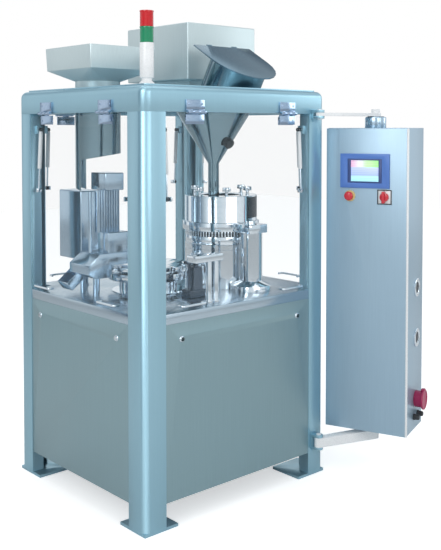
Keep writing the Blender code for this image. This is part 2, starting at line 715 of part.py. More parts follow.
def make_doors(root):
    """Four acrylic doors that flip up, each with clamp hinges, handles and two gas struts."""
    half_hinge, half_knuckle = HINGE_LENGTH / 2, HINGE_LENGTH / 6 - GAP
    near = HINGE_OUT + PANE_BEHIND_FACE
    for side, (width, _, _) in SIDES.items():
        frame = side_frame(side) @ moved(0, -HINGE_OUT, BEAM_BOTTOM)
        axis = pivot("door_axis_" + side, root, frame)
        half = width / 2 - POST_WIDTH
        low = (-half + PANE_EDGE_GAP, near, TABLE_TOP + PANE_TABLE_GAP - BEAM_BOTTOM)
        high = (half - PANE_EDGE_GAP, near + PANE_THICK, -PANE_TOP_DROP)
        door = piece("door_" + side, [block(low, high)], "clear_acrylic", axis)

        mounted, knuckles, bores = [], [], []
        for end in (-1, 1):
            x = end * (width / 2 - HINGE_FROM_CORNER)
            mounted.append(block((x - half_hinge, near - HINGE_THICK, -HINGE_LEAF),
                                 (x + half_hinge, near + OVERLAP, -KNUCKLE_RADIUS - KNUCKLE_CLEAR)))
            knuckles.append(prism(knuckle_profile(near, -1), x - half_knuckle, x + half_knuckle, ALONG))
            reach = half_knuckle + OVERLAP
            bores.append(rod((x - reach, 0, 0), (x + reach, 0, 0), HINGE_PIN_RADIUS + HINGE_FIT, 2 * TINY))

            x = end * (width / 2 - HANDLE_FROM_CORNER)
            z = TABLE_TOP + HANDLE_ABOVE_TABLE - BEAM_BOTTOM
            front = near - HANDLE_OUT
            post_x = HANDLE_LENGTH / 2 - HANDLE_RADIUS
            path = [(-post_x, near + OVERLAP), (-post_x, front + HANDLE_BEND), (-post_x + HANDLE_BEND, front)]
            path += [(-px, py) for px, py in reversed(path)]
            mounted.append(swept([(x + px, py, z) for px, py in path], HANDLE_RADIUS))

            beside = half - STRUT_FROM_POST - STRUT_EYE_THICK / 2 - GAP
            spans = sorted((end * beside, end * (beside - STRUT_STUD_WIDTH)))
            stud_y = HINGE_OUT + STRUT_STUD_BEHIND
            mounted.append(block((spans[0], near + PANE_THICK - OVERLAP, -STRUT_STUD_DROP - STRUT_EYE_RADIUS),
                                 (spans[1], stud_y + STRUT_EYE_RADIUS, -STRUT_STUD_DROP + STRUT_EYE_RADIUS)))
        join(door, *mounted)
        join(door, *knuckles)
        cut(door, *bores)
        make_struts(side, half - STRUT_FROM_POST, frame, root)


def make_struts(side, reach, frame, root):
    """Both struts of one door: tubes that turn on the posts, rods that slide in them."""
    top = Vector((0, HINGE_OUT + STRUT_PIVOT_BEHIND, -STRUT_PIVOT_DROP))
    foot = Vector((0, HINGE_OUT + STRUT_STUD_BEHIND, -STRUT_STUD_DROP))
    along = foot - top
    lean = math.atan2(along.y, -along.z)
    at = frame @ Matrix.Translation(top) @ Matrix.Rotation(lean, 4, "X")
    neck = -STRUT_EYE_RADIUS * 0.7
    end = -STRUT_TUBE_LENGTH - STRUT_EYE_RADIUS
    low = -along.length
    r, bore, eye, half_eye = STRUT_TUBE_RADIUS, STRUT_ROD_RADIUS + GAP, STRUT_EYE_RADIUS, STRUT_EYE_THICK / 2
    profile = [(0, neck), (r * 0.6, neck), (r, neck - 0.006), (r, end), (bore, end), (bore, neck - 0.014),
               (0, neck - 0.014)]
    for hand, place in (("left", -reach), ("right", reach)):
        axis = pivot("strut_axis_" + side + "_" + hand, root, at @ moved(place, 0))
        tube = piece("strut_tube_" + side + "_" + hand, [lathe(profile, sides=TINY)], "satin_steel", axis)
        join(tube, rod((-half_eye, 0, 0), (half_eye, 0, 0), eye, TINY))
        slide = pivot("strut_slide_" + side + "_" + hand, axis, Matrix())
        bar = rod((0, 0, neck - 0.02), (0, 0, low + eye * 0.7), STRUT_ROD_RADIUS, LEAST)
        inner = piece("strut_rod_" + side + "_" + hand, [bar], "polished_steel", slide)
        join(inner, rod((-half_eye, 0, low), (half_eye, 0, low), eye, TINY))


def make_tower(root):
    at = moved(*TOWER_AT)
    foot = DECK_TOP + GAP
    r, lens = TOWER_RADIUS, TOWER_RADIUS - OVERLAP
    body_top = foot + TOWER_BODY_HEIGHT
    profile = [(0, foot), (r * 1.1, foot), (r * 1.1, foot + 0.004), (r * 0.75, foot + 0.012),
               (r * 0.75, foot + 0.02), (r, foot + 0.024), (r, body_top), (0, body_top)]
    piece("signal_body", [lathe(profile, at, 16)], "white_plastic", root)
    low = body_top + GAP
    for name, finish in (("signal_lens_green", "green_lens"), ("signal_lens_red", "red_lens")):
        high = low + LENS_HEIGHT
        top = high + LENS_RING
        profile = [(0, low), (lens, low), (lens, high), (r, high), (r, top - OVERLAP), (lens, top), (0, top)]
        piece(name, [lathe(profile, at, 16)], finish, root)
        low = top + GAP


def make_capsule_side(root):
    """The capsule hopper on the deck and the cut chute that hangs below it."""
    cx, cy = CHUTE_AT
    hx, hy = cx + HOPPER_OFFSET[0], cy + HOPPER_OFFSET[1]
    half_x, half_y = HOPPER_SIZE[0] / 2, HOPPER_SIZE[1] / 2

    def rim(grow, z):
        outline = rounded((hx - half_x - grow, hy - half_y - grow), (hx + half_x + grow, hy + half_y + grow),
                          0.006 + grow, 4)
        return at_height(outline, z)

    def neck(radius, z):
        return at_height(rounded((cx - radius, cy - radius), (cx + radius, cy + radius), radius, 4), z)

    t = HOPPER_WALL
    foot = DECK_TOP + GAP
    outer = [rim(HOPPER_FLARE, HOPPER_RIM_TOP), rim(0, HOPPER_RIM_BOTTOM),
             neck(CHUTE_RADIUS, HOPPER_NECK_TOP), neck(CHUTE_RADIUS, foot)]
    inner = [neck(CHUTE_RADIUS - t, foot), neck(CHUTE_RADIUS - t, HOPPER_NECK_TOP),
             rim(-t, HOPPER_RIM_BOTTOM + t), rim(HOPPER_FLARE - t, HOPPER_RIM_TOP)]
    piece("capsule_hopper", [loft(outer + inner, ring=True)], "pale_steel", root)

    r, top = CHUTE_RADIUS, DECK_BOTTOM - GAP
    profile = [(r - CHUTE_WALL, CHUTE_LOW), (r, CHUTE_LOW), (r, top - 0.004), (r + 0.012, top - 0.004),
               (r + 0.012, top), (r - CHUTE_WALL, top)]
    chute = piece("capsule_chute", [lathe(profile, moved(cx, cy), MIDDLE, ring=True)], "polished_steel", root)
    across = moved(cx, cy) @ turned_by(-41.7) @ turned_by(90, "X")
    side = 2 * r
    open_front = [(-0.065, CHUTE_CUT_LEFT), (-0.065, CHUTE_LOW - 0.05), (side, CHUTE_LOW - 0.05),
                  (side, CHUTE_CUT_RIGHT)]
    slant = [(-side, CHUTE_LOW + 0.055), (-side, CHUTE_LOW - 0.05), (-0.05, CHUTE_LOW - 0.05), (-0.06, CHUTE_LOW)]
    cut(chute, prism(open_front, -side, side, across))
    cut(chute, prism(slant, -side, side, across))


def make_feeder(root):
    """The magazine slides down over the turret's edge; the casting below it carries the guides."""
    (x0, x1), (y0, y1) = MAGAZINE_PLATE_X, MAGAZINE_PLATE_Y
    step = (x1 - x0) / MAGAZINE_CHANNELS
    front = []
    for i in range(MAGAZINE_CHANNELS):
        middle = x0 + (i + 0.5) * step
        front += [(middle - CHANNEL_WIDTH / 2, y0), (middle - CHANNEL_WIDTH / 2, y0 + CHANNEL_DEPTH),
                  (middle + CHANNEL_WIDTH / 2, y0 + CHANNEL_DEPTH), (middle + CHANNEL_WIDTH / 2, y0)]
    outline = [(x0, y0)] + front + [(x1, y0), (x1, y1), (x0, y1)]
    low, high = MAGAZINE_BOX
    slide = pivot("magazine_slide", root, moved((x0 + x1) / 2, (y0 + y1) / 2, MAGAZINE_LOW))
    back = slide.matrix_basis.inverted()
    plate = prism(outline, MAGAZINE_LOW, low[2] + OVERLAP, back)
    magazine = piece("capsule_magazine", [plate], "satin_steel", slide)
    join(magazine, block(low, high, back, 0.003))

    y0, y1 = FEEDER_Y
    side = [(0.06, 0.945), (0.10, FEEDER_BOTTOM), (0.17, FEEDER_BOTTOM), (0.19, FEEDER_OVERHANG),
            (0.3, FEEDER_OVERHANG), (0.3, FEEDER_TOP), (0.12, FEEDER_TOP), (0.06, 0.985)]
    upright = Matrix(((1, 0, 0, 0), (0, 0, -1, 0), (0, 1, 0, 0), (0, 0, 0, 1)))
    casting = prism(side, -y1, -y0, upright)
    feeder = piece("feeder_housing", [casting], "satin_steel", root)
    parts = [block((0.16, y0 + OVERLAP, FEEDER_TOP - OVERLAP), (0.27, 0.55, MAGAZINE_LOW - GAP), edge=0.003),
             rod((*GUIDE_ROD_AT, FEEDER_TOP - OVERLAP), (*GUIDE_ROD_AT, GUIDE_ROD_TOP), GUIDE_ROD_RADIUS, TINY)]
    for x, y in ((0.115, 0.5), (0.115, 0.6), (0.155, 0.55)):
        parts.append(rod((x, y, TABLE_TOP + GAP), (x, y, FEEDER_BOTTOM + OVERLAP), COLUMN_RADIUS))
    join(feeder, *parts)
    trough_at = moved(0.075, 0.6, 0.925) @ turned_by(-38, "Y")
    join(feeder, tray((-0.06, -0.035, -0.022), (0.05, 0.045, 0.022), (0, 0, 1), 0.003, 0.003, trough_at))

    low, high = SORTER_BOX
    sorter = piece("sorter_box", [block(low, high, edge=0.004)], "satin_steel", root)
    column = (high[0] - 0.03, (low[1] + high[1]) / 2)
    join(sorter, rod((*column, TABLE_TOP + GAP), (*column, low[2] + OVERLAP), COLUMN_RADIUS))


def make_rear_housing(root):
    low, high = REAR_HOUSING
    i = PLINTH_INSET
    housing = piece("rear_housing", [block(low, high, edge=0.004)], "pale_steel", root)
    join(housing, block((low[0] + i, low[1] + i, DECK_TOP + GAP), (high[0] - i, high[1] - i, low[2] + OVERLAP)))


def make_powder_side(root):
    """A cone under the deck and the leaning filling tube above it, lofted as one thin shell."""
    angles = [math.tau * i / MIDDLE for i in range(MIDDLE)]
    cx, cy = CONE_AT
    frame = tube_frame()

    def circle(radius, z):
        return [(cx + radius * math.cos(a), cy + radius * math.sin(a), z) for a in angles]

    def tube_base(radius):
        long = radius / math.cos(TUBE_LEAN)
        x, y, z = TUBE_FOOT
        return [(x + radius * math.cos(a), y + long * math.sin(a), z) for a in angles]

    def mouth(radius):
        return [frame @ Vector((radius * math.cos(a), radius * math.sin(a), TUBE_LENGTH)) for a in angles]

    t = HOPPER_WALL
    o = CONE_OUTLET_RADIUS
    outer = [circle(o, CONE_OUTLET_BOTTOM), circle(o, CONE_LOW), circle(CONE_RADIUS, CONE_HIGH),
             circle(CONE_RADIUS, CONE_HIGH + 0.012), tube_base(TUBE_RADIUS), mouth(TUBE_RADIUS)]
    inner = [mouth(TUBE_RADIUS - t), tube_base(TUBE_RADIUS - t), circle(CONE_RADIUS - t, CONE_HIGH + 0.012 - t),
             circle(CONE_RADIUS - t, CONE_HIGH), circle(o - t, CONE_LOW + t), circle(o - t, CONE_OUTLET_BOTTOM)]
    hopper = piece("powder_hopper", [loft(outer + inner, ring=True)], "polished_steel", root)

    hinge = frame @ moved(0, TUBE_RADIUS + LID_BEHIND, TUBE_LENGTH + GAP)
    lid_axis = pivot("lid_axis", root, hinge)
    half = LID_WIDTH / 2
    axis_y = -(TUBE_RADIUS + LID_BEHIND)
    outline = [(half, -0.004), (half, axis_y)] + arc((0, axis_y), half, 0, -180, 12)[1:] + [(-half, -0.004)]
    lid = piece("hopper_lid", [prism(outline[::-1], 0, LID_THICK)], "dark_steel", lid_axis)
    for x in (-0.075, 0.075):
        join(lid, rod((x - 0.014, 0, LID_THICK * 0.6), (x + 0.014, 0, LID_THICK * 0.6), 0.0055, TINY))

    slope = (CONE_RADIUS - o) / (CONE_HIGH - CONE_LOW)
    radius = o + (SENSOR_HEIGHT - CONE_LOW) * slope
    normal = Vector((0, -1, -slope)).normalized()
    start = Vector((cx, cy - radius, SENSOR_HEIGHT)) - normal * HOPPER_WALL * 1.4
    join(hopper, rod(start, start + normal * SENSOR_LENGTH, SENSOR_RADIUS, 16))


def make_dosing(root):
    """Dosing drum, its turning disc, and the tamping head that lifts off it on a guide."""
    at = moved(*DOSING_AT)
    s = DOSING_SHAFT_RADIUS + PIN_FIT
    r = DRUM_RADIUS
    foot = TABLE_TOP + GAP
    profile = [(s, foot), (r, foot), (r, DRUM_SEAM - 0.001), (r - 0.0015, DRUM_SEAM - 0.001),
               (r - 0.0015, DRUM_SEAM + 0.001), (r, DRUM_SEAM + 0.001), (r, DRUM_TOP), (s, DRUM_TOP)]
    piece("dosing_housing", [lathe(profile, at, LARGE, ring=True)], "polished_steel", root)

    spin = pivot("dosing_axis", root, at)
    low, top, rim = DRUM_TOP + GAP, DISC_TOP - GAP, r - 0.012
    floor = low + DISC_FLOOR
    shaft = DOSING_SHAFT_RADIUS
    shaft_end = TABLE_BOTTOM - INDEX_BOX_DROP / 4
    profile = [(0, shaft_end), (shaft, shaft_end), (shaft, low), (r - 0.001, low), (r - 0.001, top), (rim, top),
               (rim, floor), (shaft, floor), (shaft, top), (0, top)]
    disc = piece("dosing_disc", [lathe(profile, sides=LARGE)], "polished_steel", spin)
    bores = []
    for i in range(DOSING_BORES):
        angle = math.tau * i / DOSING_BORES
        x, y = 0.115 * math.cos(angle), 0.115 * math.sin(angle)
        bores.append(rod((x, y, low - 0.01), (x, y, floor + 0.01), DOSING_BORE_RADIUS, 6))
    cut(disc, *bores)

    lift = pivot("tamping_slide", root, moved(*DOSING_AT, DISC_TOP))
    base = -DISC_TOP
    b, f = FLANGE_BORE, FLANGE_RADIUS
    w = HEAD_WALL
    profile = [(b, FLANGE_BOTTOM + base), (f, FLANGE_BOTTOM + base), (f, FLANGE_TOP - 0.002 + base),
               (f - 0.002, FLANGE_TOP + base), (r, FLANGE_TOP + base), (r, HEAD_TOP + base), (b, HEAD_TOP + base),
               (b, HEAD_TOP - w + base), (r - w, HEAD_TOP - w + base), (r - w, FLANGE_TOP + base), (b, FLANGE_TOP + base)]
    head = piece("tamping_head", [lathe(profile, sides=LARGE, ring=True)], "polished_steel", lift)
    teeth = []
    share = math.tau / TEETH
    for i in range(TEETH):
        a = i * share
        outline = [((r - d) * math.cos(a + k), (r - d) * math.sin(a + k))
                   for d, k in ((TOOTH_DEPTH, 0), (0.001, 0), (0.001, share * 0.5), (TOOTH_DEPTH, share * 0.5))]
        teeth.append(prism(outline, GAP, FLANGE_BOTTOM + OVERLAP + base))
    join(head, *teeth)
    px, py = PILLAR_AT[0] - DOSING_AT[0], PILLAR_AT[1] - DOSING_AT[1]
    wide = PILLAR_RADIUS + PILLAR_LUG
    join(head, block((px - wide, py - wide, FLANGE_BOTTOM + OVERLAP + base),
                     (px + wide, py + wide, FLANGE_TOP - 2 * OVERLAP + base), edge=0.006))
    socket = FLANGE_BOTTOM + PILLAR_SOCKET + base
    cut(head, rod((px, py, -0.005), (px, py, socket), PILLAR_RADIUS + 2 * GAP, MIDDLE))
    guide_low = PILLAR_FLARE_TOP + 0.05 + base
    join(head, rod((px, py, guide_low), (px, py, FLANGE_TOP + 0.012 + base), GUIDE_RADIUS))

    outline = []
    for k in range(10):
        t = math.tau * k / 10
        lobe = KNOB_RADIUS * (1 - KNOB_LOBE * (k % 2))
        outline.append((lobe * math.cos(t), lobe * math.sin(t)))
    top = HEAD_TOP + base
    stems, knobs = [], []
    for i in range(KNOBS):
        angle = math.tau * i / KNOBS
        x, y = KNOB_CIRCLE * math.cos(angle), KNOB_CIRCLE * math.sin(angle)
        stems.append(rod((x, y, top - OVERLAP), (x, y, top + KNOB_STEM + OVERLAP), KNOB_RADIUS * 0.4, TINY))
        knobs.append(prism(outline, top + KNOB_STEM, top + KNOB_STEM + KNOB_HEIGHT, moved(x, y)))
    join(head, *stems)
    join(head, *knobs)


def make_pillar(root):
    at = moved(*PILLAR_AT)
    r, base, bore = PILLAR_RADIUS, PILLAR_BASE_RADIUS, GUIDE_RADIUS + PIN_FIT
    foot, top = TABLE_TOP + GAP, FLANGE_BOTTOM + PILLAR_SOCKET - GAP
    profile = [(bore, foot), (base, foot), (base, PILLAR_BASE_TOP), (r, PILLAR_FLARE_TOP), (r, top - 0.002),
               (r - 0.002, top), (bore, top)]
    pillar = piece("guide_pillar", [lathe(profile, at, MIDDLE, ring=True)], "polished_steel", root)
    cut(pillar, rod((*DOSING_AT, foot - 0.01), (*DOSING_AT, PILLAR_FLARE_TOP + 0.02), DRUM_RADIUS + 2 * GAP, LARGE))


def make_turret(root):
    at = moved(*TURRET_AT)
    spin = pivot("turret_axis", root, at)
    shaft, neck, r = TURRET_SHAFT_RADIUS, TURRET_NECK, TURRET_RADIUS
    profile = [(0, TABLE_BOTTOM - INDEX_BOX_DROP / 4), (shaft, TABLE_BOTTOM - INDEX_BOX_DROP / 4),
               (shaft, TURRET_LOW), (r, TURRET_LOW), (r, TURRET_LOW_TOP), (neck, TURRET_LOW_TOP),
               (neck, TURRET_HIGH), (r, TURRET_HIGH), (r, TURRET_TOP), (0.07, TURRET_TOP),
               (0.066, TURRET_TOP + 0.02), (0, TURRET_TOP + 0.024)]
    turret = piece("turret", [lathe(profile, sides=LARGE)], "polished_steel", spin)
    notches = []
    for i in range(STATIONS):
        turn = turned_by(360 * i / STATIONS)
        notches.append(block((r - NOTCH_DEPTH, -NOTCH_WIDTH / 2, TURRET_LOW_TOP + 0.005),
                             (r + 0.01, NOTCH_WIDTH / 2, TURRET_TOP + 0.01), turn))
    cut(turret, *notches)

    foot, top, base = TABLE_TOP + GAP, TURRET_BASE_TOP, TURRET_BASE_RADIUS
    bore = shaft + PIN_FIT
    profile = [(bore, foot), (base + 0.03, foot), (base + 0.03, foot + 0.004), (base, foot + 0.006), (base, top),
               (bore, top)]
    piece("turret_base", [lathe(profile, at, LARGE, ring=True)], "satin_steel", root)


def make_stations(root):
    low, high = CLOSING_BLOCK
    foot = TABLE_TOP + GAP
    closing = piece("closing_station", [block(low, high, edge=0.002)], "polished_steel", root)
    legs = []
    for x, y in CLOSING_RODS:
        profile = [(0, foot), (0.0175, foot), (0.0175, foot + 0.014), (CLOSING_ROD_RADIUS, foot + 0.018),
                   (CLOSING_ROD_RADIUS, low[2] + OVERLAP), (0, low[2] + OVERLAP)]
        legs.append(lathe(profile, moved(x, y), SMALL))
    y, z = (low[1] + high[1]) / 2, (low[2] + high[2]) / 2
    join(closing, *legs, rod((high[0] - OVERLAP, y, z), (high[0] + 0.016, y, z), 0.008, TINY))
    x, y = EJECTOR_AT
    station = piece("ejection_station", [block((x - 0.045, y - 0.03, foot), (x + 0.045, y + 0.03, foot + 0.035),
                                               edge=0.003)], "dark_steel", root)
    join(station, block((x - 0.02, y - 0.025, foot + 0.03), (x + 0.03, y + 0.015, foot + 0.13), edge=0.003))
    join(station, rod((x - 0.033, y - 0.012, foot + 0.03), (x - 0.033, y - 0.012, foot + 0.15), 0.007, TINY),
         rod((x + 0.005, y - 0.005, foot + 0.125), (x + 0.005, y - 0.005, foot + 0.165), 0.012, TINY))
    join(station, block((x - 0.05, y - 0.02, foot + 0.145), (x + 0.02, y + 0.01, foot + 0.158), edge=0.002))


def make_drive(root, floor):
    """Motor and gearbox on the pan, two index gearboxes under the table, and the camshaft."""
    mx, my = MOTOR_AT
    feet = floor + 0.03
    axis_z = feet + MOTOR_RADIUS
    along = Matrix.Translation((mx, my, axis_z)) @ turned_by(90, "Y")
    r, length = MOTOR_RADIUS, MOTOR_LENGTH
    profile = [(0, 0), (r * 0.95, 0), (r, 0.006), (r, 0.05), (r * 0.9, 0.055), (r * 0.9, length), (0, length)]
    end = mx + MOTOR_LENGTH
    drive = piece("drive_unit", [lathe(profile, along, 16)], "cast_iron", root)
    join(drive, block((mx + 0.03, my - 0.06, floor), (end - 0.02, my + 0.06, feet + 0.02)))
    join(drive, block((end - OVERLAP, my - 0.07, floor), (end + 0.14, my + 0.07, axis_z + 0.09), edge=0.008))

    length = CAMSHAFT_X[1] - CAMSHAFT_X[0]
    spin = pivot("camshaft_axis", root, moved(CAMSHAFT_X[0], CAMSHAFT_Y, CAMSHAFT_Z) @ turned_by(90, "Y"))
    shaft = piece("camshaft", [rod((0, 0, 0), (0, 0, length), CAMSHAFT_RADIUS, 16)], "satin_steel", spin)
    cams = []
    for i, degrees in enumerate((0, 140, 250)):
        z = 0.13 + i * 0.15
        offset = turned_by(degrees) @ Vector((CAM_ECCENTRIC, 0, 0))
        cams.append(rod((offset.x, offset.y, z), (offset.x, offset.y, z + 0.022), CAM_RADIUS, 16))
    join(shaft, *cams)


def make_cabinet(root):
    """Swing arm on the post, cabinet on the arm, door on the cabinet, controls on the door."""
    hinge, centre = Vector(ARM_HINGE), Vector(CABINET_AT)
    reach = (centre - hinge).length
    direction = math.atan2(centre.y - hinge.y, centre.x - hinge.x)
    arm_at = moved(*ARM_HINGE) @ Matrix.Rotation(direction, 4, "Z")
    arm_axis = pivot("arm_axis", root, arm_at)
    half = ARM_WIDTH / 2
    outline = arc((0, 0), half * 0.75, 90, 270, 5) + arc((reach, 0), half, -90, 90, 5)
    tall = LUG_THICK + 0.004
    arms = []
    for name, (low, high) in (("upper_arm", UPPER_ARM), ("lower_arm", LOWER_ARM)):
        arm = piece(name, [prism(outline, low, high)], "white_plastic", arm_axis)
        join(arm, rod((0, 0, low - tall), (0, 0, high + tall), ARM_PIN_RADIUS, TINY))
        arms.append(arm)
    pin = PIVOT_PIN_RADIUS
    join(arms[0], rod((reach, 0, UPPER_ARM[0] - 0.03), (reach, 0, UPPER_ARM[1] + 0.018), pin, 16))
    join(arms[1], rod((reach, 0, LOWER_ARM[1] - OVERLAP), (reach, 0, CABINET_LOW - GAP), PIVOT_COLLAR_RADIUS, 16))
    join(arms[1], rod((reach, 0, CABINET_LOW - 2 * OVERLAP), (reach, 0, CABINET_LOW + 0.01), pin, 16))

    w, d, wall = CABINET_WIDTH / 2, CABINET_DEPTH / 2, CABINET_WALL
    cabinet_at = arm_at.inverted() @ moved(*CABINET_AT) @ Matrix.Rotation(CABINET_YAW, 4, "Z")
    cabinet_axis = pivot("cabinet_axis", arm_axis, cabinet_at)
    front = -d + CABINET_DOOR_THICK + GAP
    shell = piece("cabinet_shell", [tray((-w, front, CABINET_LOW), (w, d, CABINET_TOP), (0, -1, 0), wall, wall)],
                  "cabinet_steel", cabinet_axis)
    bore = pin + PIN_FIT
    hub_top = UPPER_ARM[0] - GAP
    hub = [(bore, CABINET_TOP - wall / 2), (PIVOT_RADIUS, CABINET_TOP - wall / 2), (PIVOT_RADIUS, hub_top - 0.004),
           (PIVOT_RADIUS * 0.7, hub_top), (bore, hub_top)]
    join(shell, lathe(hub, sides=16, ring=True))
    cut(shell, rod((0, 0, CABINET_LOW - 0.01), (0, 0, CABINET_LOW + 0.02), bore, 16),
        rod((0, 0, CABINET_TOP - 0.02), (0, 0, hub_top + 0.01), bore, 16))

    door_axis = pivot("cabinet_door_axis", cabinet_axis, moved(w, -d))
    back = door_axis.matrix_basis.inverted()
    door = piece("cabinet_door", [tray((-w, -d, CABINET_LOW + 0.002), (w, -d + CABINET_DOOR_THICK, CABINET_TOP - 0.002),
                                       (0, 1, 0), wall, wall, back)], "cabinet_steel", door_axis)
    join(door, rod((0, 0.004, CABINET_LOW + 0.003), (0, 0.004, CABINET_TOP - 0.003), 0.006, TINY))

    face = -d - GAP
    sx, sz = SCREEN_CENTRE
    sw, sh = SCREEN_SIZE[0] / 2, SCREEN_SIZE[1] / 2
    bezel = tray((sx - sw, face - SCREEN_OUT, sz - sh), (sx + sw, face, sz + sh), (0, -1, 0), 0.03,
                 SCREEN_OUT - 0.003, back)
    piece("touch_panel", [bezel], "blue_plastic", door_axis)

    turn = turned_by(90, "X")
    x, z = STOP_AT
    r = STOP_RADIUS
    neck = r * 0.6
    collar_out = 0.01
    collar = [(0, -OVERLAP), (r * 1.25, -OVERLAP), (r * 1.25, 0.004), (r * 1.1, collar_out), (0, collar_out)]
    collar_at = back @ moved(x, face, z) @ turn
    sx, sz = SWITCH_AT
    half = SWITCH_SIZE / 2
    plate = tray((sx - half, face - 0.006, sz - half), (sx + half, face + OVERLAP, sz + half),
                 (0, -1, 0), 0.004, 0.004 + OVERLAP, back)
    join(door, lathe(collar, collar_at, 16), plate)
    cut(door, rod((0, 0, -0.01), (0, 0, collar_out + OVERLAP), neck + PIN_FIT, 16, collar_at))

    stop_axis = pivot("stop_slide", door_axis, collar_at)
    push = collar_out + STOP_TRAVEL + GAP
    mushroom = [(0, 0), (neck, 0), (neck, push), (r, push), (r * 1.02, push + 0.006), (r * 0.7, push + 0.012),
                (0, push + 0.014)]
    piece("emergency_stop", [lathe(mushroom, sides=16)], "red_plastic", stop_axis)

    switch_axis = pivot("switch_axis", door_axis, back @ moved(sx, face, sz) @ turn)
    seat = 0.004 + GAP
    knob = [(0, seat), (0.02, seat), (0.019, seat + 0.012), (0, seat + 0.012)]
    switch = piece("main_switch", [lathe(knob, sides=16)], "red_plastic", switch_axis)
    join(switch, block((-0.006, -0.026, seat + 0.006), (0.006, 0.026, seat + 0.03), edge=0.002))

    out = turned_by(90, "Y")
    side = w - OVERLAP
    radius, length = INLET_RADIUS, INLET_OUT
    profile = [(0, 0), (radius * 0.8, 0), (radius * 0.8, length * 0.75), (radius, length * 0.8), (radius, length),
               (0, length)]
    fittings = [lathe(profile, moved(side, SIDE_FITTINGS_Y, INLET_HEIGHT) @ out, SMALL)]
    for y in (-0.03, 0.03):
        profile = [(0, 0), (0.014, 0), (0.01, 0.028), (0, 0.028)]
        fittings.append(lathe(profile, moved(side, SIDE_FITTINGS_Y + y, GLAND_HEIGHT) @ out, TINY))
    for height in CAP_HEIGHTS:
        profile = [(0, 0), (CAP_RADIUS, 0), (CAP_RADIUS * 0.85, 0.008), (0, 0.008)]
        fittings.append(lathe(profile, moved(side, SIDE_FITTINGS_Y, height) @ out, SMALL))
    join(shell, *fittings)


def stand_on_origin(root):
    """Move the whole model so that the middle of its footprint is over the origin."""
    bpy.context.view_layer.update()
    graph = bpy.context.evaluated_depsgraph_get()
    points = []
    for obj in bpy.context.scene.objects:
        if obj.type == "MESH" and not obj.hide_render:
            mesh = obj.evaluated_get(graph).data
            points += [obj.matrix_world @ vert.co for vert in mesh.vertices]
    low = [min(point[i] for point in points) for i in range(3)]
    high = [max(point[i] for point in points) for i in range(3)]
    root.location = (-(low[0] + high[0]) / 2, -(low[1] + high[1]) / 2, -low[2])


def main():
    root = pivot("machine", None, Matrix())
    make_posts(root)
    floor = make_base(root)
    make_table(root)
    make_top_frame(root)
    make_deck(root)
    make_panels(root)
    make_doors(root)
    make_tower(root)
    make_capsule_side(root)
    make_feeder(root)
    make_rear_housing(root)
    make_powder_side(root)
    make_dosing(root)
    make_pillar(root)
    make_turret(root)
    make_stations(root)
    make_drive(root, floor)
    make_cabinet(root)
    stand_on_origin(root)


main()
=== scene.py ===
# %% [markdown]
# # A hard capsule filling machine
# This notebook dresses them: it finishes their surfaces, redraws the pieces that carry more than one
# material, lights the machine and looks at it from where the photographer stood.

# %% Load the solids
import json
import math

import bpy
from mathutils import Matrix, Vector

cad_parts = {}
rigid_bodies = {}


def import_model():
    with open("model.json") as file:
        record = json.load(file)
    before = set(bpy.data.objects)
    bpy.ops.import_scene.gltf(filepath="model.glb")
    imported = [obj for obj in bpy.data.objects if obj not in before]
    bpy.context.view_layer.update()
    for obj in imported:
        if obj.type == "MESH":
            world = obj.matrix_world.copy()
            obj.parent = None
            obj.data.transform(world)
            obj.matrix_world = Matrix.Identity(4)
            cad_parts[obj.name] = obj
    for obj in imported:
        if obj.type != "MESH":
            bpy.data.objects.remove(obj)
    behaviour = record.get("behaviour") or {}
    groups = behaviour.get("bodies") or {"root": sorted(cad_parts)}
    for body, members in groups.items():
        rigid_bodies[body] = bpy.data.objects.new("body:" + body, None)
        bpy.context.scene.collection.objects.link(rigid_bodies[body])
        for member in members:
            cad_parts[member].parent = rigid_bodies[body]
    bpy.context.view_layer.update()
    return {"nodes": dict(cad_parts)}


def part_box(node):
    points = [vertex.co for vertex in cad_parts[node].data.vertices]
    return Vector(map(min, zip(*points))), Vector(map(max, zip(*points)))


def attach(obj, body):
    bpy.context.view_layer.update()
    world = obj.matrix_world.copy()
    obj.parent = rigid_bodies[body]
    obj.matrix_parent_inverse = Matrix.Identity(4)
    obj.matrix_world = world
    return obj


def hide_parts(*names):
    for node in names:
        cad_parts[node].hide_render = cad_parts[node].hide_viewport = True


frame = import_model()

# %% [markdown]
# Everything is measured from the outer corner of the front left post, as on a drawing of the machine:
# X along the front, Y to the rear, Z up. SEAT is where turned work stands on the table.

# %% Measures
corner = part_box("post_front_left")[0]
WIDTH, DEPTH = 1.02, 0.95
BEAM_BOTTOM, BEAM_TOP = 1.63, 1.73
SEAT = 0.8464
POST = 0.105
DOSING = (0.73, 0.384)
TURRET = (0.38, 0.48)


def spot(x, y, z):
    return Vector((corner[0] + x, corner[1] + y, z))


print("corner", [round(v, 4) for v in corner])

# %% [markdown]
# The photograph is taken at eye level with the verticals kept parallel, as with a shift lens: the camera
# looks almost level and its frame is shifted down. The focal length comes from the photograph's own
# perspective.

# %% Camera
lens = bpy.data.cameras.new("camera")
lens.lens = 57.38
lens.shift_y = -0.205
camera = bpy.data.objects.new("camera", lens)
bpy.context.scene.collection.objects.link(camera)
HEADING, DIP = -41.7, 2.13
turn = Matrix.Rotation(math.radians(HEADING), 4, "Z")
tilt = Matrix.Rotation(math.radians(90 - DIP), 4, "X")
camera.matrix_world = Matrix.Translation(spot(-1.9713, -2.6455, 1.5603)) @ turn @ tilt
bpy.context.scene.camera = camera
print("camera at", [round(v, 3) for v in camera.matrix_world.translation])

# %% [markdown]
# The studio is white. Polished steel only looks like steel when it has something dark to mirror, so the
# world has a few soft dark upright bands for reflections, as black flags would give. Camera rays see
# plain white.

